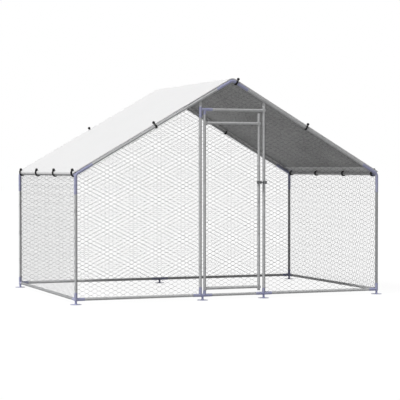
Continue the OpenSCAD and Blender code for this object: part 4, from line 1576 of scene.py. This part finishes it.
@dataclass
class RoofCover:
    """White sheet over both slopes, dark underneath, with a sewn hem and eyelets at the bungees.

    Attributes:
        finishes: Materials of the run.
        bungees: The bungees that hold the sheet.
        thick: Thickness of the sheet.
        sag: Depth of the sag between the tubes.
        ripple: Unevenness of the sag, as a share of it.
        pucker: Height of the folds that fan out round a bungee.
        folds: Number of these folds.
        pucker_far: Distance over which they fade.
        pucker_near: Distance within which they start.
        hem_eave: Width of the hem along an eave.
        hem_gable: Width of the hem along a gable.
        rows: Rows of the sheet's grid over both slopes.
        columns: Columns of the sheet's grid.
        roll_sides: Sides of a rolled edge.
        roll_square: How square a rolled edge is, from 1, round, to 0.
        skin: Gap between a rolled edge and what it touches.
        stitch: Distance between stitches.
        stitch_half: Half the length, width and height of a stitch.
        stitch_in: Distance of the stitches from the inner edge of an eave's hem and from a rolled edge.
        stitch_end: Bare length at the ends of a row of stitches.
        turn_at: Distance past an eave tube's axis at which the sheet starts to turn down.
        turn_r: Radius of that turn.
        turn_by: Angle of that turn.
        flap: Length of the edge under that turn.
        trim: Length at the gables over which the edge is cut back.
        cut_back: How much of the edge is cut off there.
    """

    finishes: Finishes
    bungees: BallBungees
    thick: float = 0.0008
    sag: float = 0.012
    ripple: float = 0.25
    pucker: float = 0.0022
    folds: int = 7
    pucker_far: float = 0.09
    pucker_near: float = 0.06
    hem_eave: float = 0.115
    hem_gable: float = 0.040
    rows: int = 150
    columns: int = 84
    roll_sides: int = 14
    roll_square: float = 0.7
    skin: float = 0.0002
    stitch: float = 0.010
    stitch_half: Point = (0.0036, 0.0006, 0.0004)
    stitch_in: Flat = (0.006, 0.003)
    stitch_end: float = 0.01
    turn_at: float = 0.003
    turn_r: float = 0.014
    turn_by: float = math.radians(70.0)
    flap: float = 0.011
    trim: float = 0.060
    cut_back: float = 0.85

    @property
    def fold_r(self) -> float:
        """Radius of the fold at the sheet's middle."""
        return RUN.bend_r + RUN.cover_low + RUN.cover_t / 2

    @property
    def half_fold(self) -> float:
        """Length of the fold on one side of the ridge."""
        return self.fold_r * RUN.pitch

    @property
    def half_flat(self) -> float:
        """Length of the sheet from the ridge to where it turns down over an eave tube."""
        run = RUN
        x, z = run.eave_tube
        axis = (run.eave_z - z) * math.sin(run.pitch) - (run.post_x - x) * math.cos(run.pitch)
        return self.half_fold + run.slope_len - run.peak_tangent + axis - self.turn_at

    @property
    def half_width(self) -> float:
        """Length of the sheet from the ridge to an eave's edge."""
        return self.half_flat + self.turn_r * self.turn_by + self.flap

    @property
    def half_depth(self) -> float:
        """Length of the sheet from its middle to a gable's edge."""
        return RUN.post_y + RUN.cover_over

    def profile(self, s: np.ndarray) -> tuple[np.ndarray, np.ndarray]:
        """Section of the taut sheet.

        Args:
            s: Lengths along the sheet from the ridge, less than 0 to the left.

        Returns:
            Points in X and Z, and their outward normals.
        """
        side, far = np.sign(s), np.abs(s)
        lean = np.minimum(far / self.fold_r, RUN.pitch)
        slope = np.clip(far - self.half_fold, 0.0, self.half_flat - self.half_fold)
        turn = np.clip((far - self.half_flat) / self.turn_r, 0.0, self.turn_by)
        hang = np.maximum(far - self.half_width + self.flap, 0.0)
        steep = lean + turn
        out = self.fold_r * np.sin(lean) + slope * np.cos(lean)
        high = RUN.fold_axis_z + self.fold_r * np.cos(lean) - slope * np.sin(lean)
        out = out + self.turn_r * (np.sin(steep) - np.sin(lean)) + hang * np.cos(steep)
        high = high + self.turn_r * (np.cos(steep) - np.cos(lean)) - hang * np.sin(steep)
        return np.stack([side * out, high], -1), np.stack([side * np.sin(steep), np.cos(steep)], -1)

    def flat_bungees(self) -> np.ndarray:
        """Places of the bungees on the flat sheet, as length from the ridge and depth."""
        spots = []
        for bungee in self.bungees.places():
            down = math.hypot(bungee.place.x, RUN.ridge_z - bungee.place.z)
            sign = 1 if bungee.place.x > 0 else -1
            spots.append((sign * (down - RUN.peak_tangent + self.half_fold), bungee.place.y))
        return np.array(spots)

    def lift(self, s: np.ndarray, y: np.ndarray) -> np.ndarray:
        """How far the sheet lies off its taut shape: a sag between the tubes, and puckers round the bungees.

        Args:
            s: Lengths from the ridge.
            y: Depths.

        Returns:
            Distance outwards.
        """
        slope = np.clip((np.abs(s) - self.half_fold) / (self.half_flat - self.half_fold - 0.01), 0.0, 1.0)
        span = np.clip(np.abs(y) / (RUN.post_y - 0.02), 0.0, 1.0)
        bay = np.sin(np.pi * slope) * (1.0 - span ** 4)
        ripple = self.ripple * np.sin(9.0 * s + 2.0 * y) * np.sin(5.0 * y - 1.3) * bay
        total = -self.sag * bay * (1.0 + ripple)
        inner = np.minimum(1.0, (1.0 - span ** 8) * 4.0) * (slope < 0.97)
        for bs, by in self.flat_bungees():
            ds, dy = s - bs, y - by
            far = np.hypot(ds, dy)
            fan = np.cos(self.folds * np.arctan2(dy, ds))
            fade = np.exp(-far / self.pucker_far) * np.clip(far / self.pucker_near, 0.0, 1.0)
            total += self.pucker * fan * fade * inner
        return total

    def surface(self, s: np.ndarray, y: np.ndarray, offset: float) -> np.ndarray:
        """Points of the sheet at an offset from its middle.

        Args:
            s: Lengths from the ridge.
            y: Depths.
            offset: Distance outwards.

        Returns:
            The points.
        """
        far = np.abs(s)
        end = np.clip((np.abs(y) - self.half_depth + self.trim) / (0.8 * self.trim), 0.0, 1.0)
        kept = 1.0 - self.cut_back * end * end * (3.0 - 2.0 * end)
        s = np.sign(s) * (np.minimum(far, self.half_flat) + np.maximum(far - self.half_flat, 0.0) * kept)
        section, normal = self.profile(s)
        moved = section + (self.lift(s, y) + offset)[..., None] * normal
        return np.stack([moved[..., 0], y, moved[..., 1]], -1)

    def shell(
        self, name: str, s: np.ndarray, y: np.ndarray, offset: float, thick: float, skins: tuple[int, int] = (0, 0)
    ) -> Mesh:
        """Closed thin shell over a grid of the sheet, with UVs in metres.

        Args:
            name: Name of the mesh.
            s: Lengths of the grid's rows.
            y: Depths of the grid's columns.
            offset: Distance of the shell's middle from the sheet's.
            thick: Thickness.
            skins: Material indices of the outer and the inner skin.

        Returns:
            The mesh.
        """
        grid_s, grid_y = np.meshgrid(s, y, indexing="ij")
        tops = self.surface(grid_s, grid_y, offset + thick / 2)
        bottoms = self.surface(grid_s, grid_y, offset - thick / 2)
        rows, columns = grid_s.shape
        count = rows * columns
        index = np.arange(count).reshape(rows, columns)
        quads = np.stack([index[:-1, :-1], index[1:, :-1], index[1:, 1:], index[:-1, 1:]], -1).reshape(-1, 4)
        rim = np.concatenate([index[:, 0], index[-1, 1:], index[-2::-1, -1], index[0, -2:0:-1]])
        after = np.roll(rim, -1)
        walls = np.stack([after, rim, rim + count, after + count], -1)
        faces = np.vstack([quads, quads[:, ::-1] + count, walls])
        mesh = bpy.data.meshes.new(name)
        mesh.from_pydata(np.vstack([tops.reshape(-1, 3), bottoms.reshape(-1, 3)]).tolist(), [], faces.tolist())
        skin = np.full(len(faces), skins[0])
        skin[len(quads):2 * len(quads)] = skins[1]
        mesh.polygons.foreach_set("material_index", skin.astype(np.int32))
        mesh.polygons.foreach_set("use_smooth", np.arange(len(faces)) < 2 * len(quads))
        flat = np.tile(np.stack([grid_s.ravel(), grid_y.ravel()], -1), (2, 1))
        mesh.uv_layers.new(name="UVMap").data.foreach_set("uv", flat[faces.ravel()].ravel())
        return mesh

    def lengths(self) -> np.ndarray:
        """Rows of the sheet's grid, closer together on the fold."""
        fold = np.linspace(-self.half_fold, self.half_fold, 13)
        slope = np.linspace(self.half_fold, self.half_flat, self.rows // 2)[1:]
        edge = np.linspace(self.half_flat, self.half_width, 9)[1:]
        half = np.concatenate([slope, edge])
        return np.concatenate([-half[::-1], fold, half])

    def hem(self) -> Object:
        """Bands turned under along all four edges.

        Returns:
            The bands, as one piece.
        """
        start, deep = self.half_width - self.hem_eave, self.half_depth - RUN.hem_w
        inner = self.lengths()
        eave = np.concatenate([[start], inner[inner > start + 0.002]])
        eave[-1] -= 0.0006
        long = np.linspace(-deep, deep, self.columns)
        inner = inner[np.abs(inner) < start]
        gable = np.linspace(deep + RUN.hem_w - self.hem_gable, deep, 4)
        strips = [(eave, long), (-eave[::-1], long), (inner, gable), (inner, -gable[::-1])]
        shells = [self.shell("strip", s, y, -self.thick, self.thick * 0.8) for s, y in strips]
        return settle(show("cover_hem", joined("cover_hem", shells, [self.finishes.cover_hem])), Body.FRAME, Slot.COVER)

    def roll(self, s: np.ndarray, y: np.ndarray, low: float) -> Mesh:
        """Rolled edge under the sheet along a gable.

        Args:
            s: Lengths of the line's points.
            y: Depths of the line's points.
            low: Height of the roll's underside over the sheet's middle.

        Returns:
            The roll.
        """
        sides, high = self.roll_sides, -self.skin
        middle = self.surface(s, y, (low + high) / 2)
        _, normal = self.profile(s)
        up = np.stack([normal[:, 0], np.zeros(len(s)), normal[:, 1]], -1)
        over = np.broadcast_to(np.array((0.0, 1.0, 0.0)), up.shape)
        turn = np.arange(sides) * math.tau / sides
        wide, tall = (
            np.sign(wave) * np.abs(wave) ** self.roll_square * size / 2
            for wave, size in ((np.cos(turn), RUN.hem_w), (np.sin(turn), high - low))
        )
        rings = middle[:, None] + wide[None, :, None] * over[:, None] + tall[None, :, None] * up[:, None]
        girth = 2.2 * (RUN.hem_w + high - low)
        return ring_mesh("roll", rings, run_lengths(middle), girth, along_first=True)

    def rolls(self) -> Object:
        """Rolled edges along both gables, which lie on the rafters' sleeves.

        Returns:
            The rolled edges, as one piece.
        """
        low = RUN.cover_t / 2 - RUN.hem_t + self.skin
        s = self.lengths()
        s = s[np.abs(s) < self.half_flat + self.skin]
        made = [self.roll(s, np.full(len(s), sign * (self.half_depth - RUN.hem_w / 2)), low) for sign in (-1, 1)]
        rolls = show("cover_rolls", joined("cover_rolls", made, [self.finishes.cover_top]))
        return settle(rolls, Body.FRAME, Slot.COVER)

    def stitches(self, repeat: GeometryTree) -> Object:
        """Row of stitches along the inner edge of the hem, on the outside.

        Args:
            repeat: Tree that sets a unit on points.

        Returns:
            The stitches, as one piece.
        """
        made = bmesh.new()
        bmesh.ops.create_icosphere(made, subdivisions=1, radius=1.0)
        bmesh.ops.scale(made, vec=self.stitch_half, verts=made.verts)
        unit = baked("stitch_unit", made, outward=False)
        ends = self.half_width - self.hem_eave + self.stitch_in[0]
        sides = self.half_depth - RUN.hem_w - self.stitch_in[1]
        along_eave, along_gable = (
            np.arange(-half + self.stitch_end, half - self.stitch_end, self.stitch)
            for half in (self.half_depth, self.half_width)
        )
        lines = []
        for sign in (-1, 1):
            lines.append((np.full(len(along_eave), sign * ends), along_eave))
            lines.append((along_gable, np.full(len(along_gable), sign * sides)))
        places = []
        for s, y in lines:
            points = self.surface(s, y, self.thick / 2)
            ahead = np.gradient(points, axis=0)
            _, normal = self.profile(s)
            for point, way, up in zip(points, ahead, normal):
                z = Vector((up[0], 0.0, up[1]))
                x = Vector(way).normalized()
                x = (x - z * x.dot(z)).normalized()
                places.append((Vector(point), Matrix((x, z.cross(x), z)).transposed()))
        rows = set_units("cover_stitches", unit, places, repeat, self.finishes.thread)
        return settle(rows, Body.FRAME, Slot.COVER)

    def build(self, repeat: GeometryTree) -> None:
        """Args:
            repeat: Tree that sets a unit on points.
        """
        depths = np.linspace(-self.half_depth, self.half_depth, self.columns)
        mesh = self.shell("roof_sheet", self.lengths(), depths, 0.0, self.thick, (0, 1))
        mesh.materials.append(self.finishes.cover_top)
        mesh.materials.append(self.finishes.cover_under)
        sheet = settle(show("roof_sheet", mesh), Body.FRAME, Slot.COVER, "roof_cover")
        extras = [self.hem(), self.rolls(), self.stitches(repeat)]


# --- Studio ---


@dataclass(frozen=True)
class Lamp:
    """Soft far lamp.

    Attributes:
        name: Name of the lamp.
        strength: Its strength.
        spread: Angle that it covers, in degrees.
        azimuth: Direction that it shines from, in degrees to the right of the front.
        height: Its height over the horizon, in degrees.
    """

    name: str
    strength: float
    spread: float
    azimuth: float
    height: float

    def build(self) -> None:
        """Adds the lamp to the scene."""
        data = bpy.data.lights.new(self.name, "SUN")
        data.energy = self.strength
        data.angle = math.radians(self.spread)
        lamp = bpy.data.objects.new(self.name, data)
        a, e = math.radians(self.azimuth), math.radians(self.height)
        source = Vector((math.sin(a) * math.cos(e), -math.cos(a) * math.cos(e), math.sin(e)))
        lamp.rotation_euler = source.to_track_quat("Z", "Y").to_euler()
        bpy.context.scene.collection.objects.link(lamp)


@dataclass
class Studio:
    """Pale floor, soft light and the camera.

    Attributes:
        eye: Place of the camera.
        look_down: How far it looks down, in degrees.
        look_right: How far it looks to the right of straight back, in degrees.
        lens: Its focal length, in millimetres.
        sensor: Width of its sensor, in millimetres.
        sight: Greatest distance that it sees.
        ambient: Strength of the surroundings as a light.
        lamps: The lamps.
        floor_half: Half the floor's width.
        floor_z: Height of the floor.
        floor_tone: Tone of the floor as light falls on it.
        floor_glow: Strength of the white that shows of it.
        floor_share: Share of that white in what shows; the rest keeps the shadow.
    """

    eye: Point = (-5.046, -13.108, 1.207)
    look_down: float = 1.307
    look_right: float = 21.312
    lens: float = 129.25
    sensor: float = 36.0
    sight: float = 200.0
    ambient: float = 0.19
    lamps: tuple[Lamp, ...] = (Lamp("key", 2.65, 20.0, -72.0, 55.0), Lamp("fill", 0.05, 70.0, 55.0, 30.0))
    floor_half: float = 60.0
    floor_z: float = -0.0004
    floor_tone: float = 0.48
    floor_glow: float = 1.09
    floor_share: float = 0.88

    @staticmethod
    def seen(graph: NodeGraph) -> NodeSocket:
        """Value of 1 for rays from the camera, mirrors and glass.

        Args:
            graph: Node tree that gets the nodes.

        Returns:
            The value.
        """
        rays = graph.add("ShaderNodeLightPath")
        value = rays.outputs["Is Camera Ray"]
        for name in ("Is Glossy Ray", "Is Transmission Ray"):
            value = graph.maths("MAXIMUM", value, rays.outputs[name])
        return value

    def world(self) -> None:
        """White surroundings that light the object at a plain level."""
        world = bpy.data.worlds.new("studio")
        bpy.context.scene.world = world
        world.use_nodes = True
        graph = NodeGraph(world.node_tree)
        shade = graph.tree.nodes["Background"]
        graph.feed(shade.inputs["Color"], WHITE)
        graph.feed(shade.inputs["Strength"], graph.span(self.seen(graph), self.ambient, 1.0))

    def floor(self) -> None:
        """Pale floor that keeps a soft shadow."""
        half = self.floor_half
        mesh = bpy.data.meshes.new("studio_floor")
        corners = [(x, y, self.floor_z) for x, y in ((-half, -half), (half, -half), (half, half), (-half, half))]
        mesh.from_pydata(corners, [], [(0, 1, 2, 3)])
        floor = show("studio_floor", mesh)
        material = bpy.data.materials.new("studio_floor")
        material.use_nodes = True
        graph = NodeGraph(material.node_tree)
        graph.tree.nodes.clear()
        matt = graph.add("ShaderNodeBsdfDiffuse", Color=(self.floor_tone, self.floor_tone, self.floor_tone, 1.0))
        glow = graph.add("ShaderNodeEmission", Color=WHITE, Strength=self.floor_glow)
        share = graph.maths("MULTIPLY", self.seen(graph), self.floor_share)
        mix = graph.add("ShaderNodeMixShader")
        for socket, value in zip(mix.inputs, (share, matt.outputs[0], glow.outputs[0])):
            graph.feed(socket, value)
        graph.add("ShaderNodeOutputMaterial", Surface=mix.outputs[0])
        mesh.materials.append(material)

    def camera(self) -> None:
        """Camera at the photograph's angle."""
        data = bpy.data.cameras.new("camera")
        data.lens = self.lens
        data.sensor_width = self.sensor
        data.clip_end = self.sight
        camera = bpy.data.objects.new("camera", data)
        camera.location = self.eye
        camera.rotation_euler = Euler((math.radians(90 - self.look_down), 0.0, -math.radians(self.look_right)))
        bpy.context.scene.collection.objects.link(camera)
        bpy.context.scene.camera = camera

    def build(self) -> None:
        """Sets up the whole studio."""
        bpy.context.scene.view_settings.view_transform = "Standard"
        self.camera()
        self.world()
        self.floor()
        for lamp in self.lamps:
            lamp.build()


def main() -> None:
    """Builds the studio and every sub-assembly in order."""
    logging.basicConfig(level=logging.INFO, format="%(name)s: %(message)s")
    Studio().build()
    finishes = Finishes()
    sweep, repeat = sweep_tree(), repeat_tree()
    tubes = TubeFrame(finishes)
    tubes.dress()
    tubes.build(repeat)
    WireNetting(finishes).build(sweep)
    WireNetting(finishes, Lay.UPRIGHT, row=0.0389, turns=3, steps=12, slack=1.9, wire_r=0.00062).build(sweep)
    NetTies(finishes).build(repeat)
    bungees = BallBungees(finishes)
    bungees.build(repeat)
    RoofCover(finishes, bungees).build(repeat)


if __name__ == "__main__":
    main()
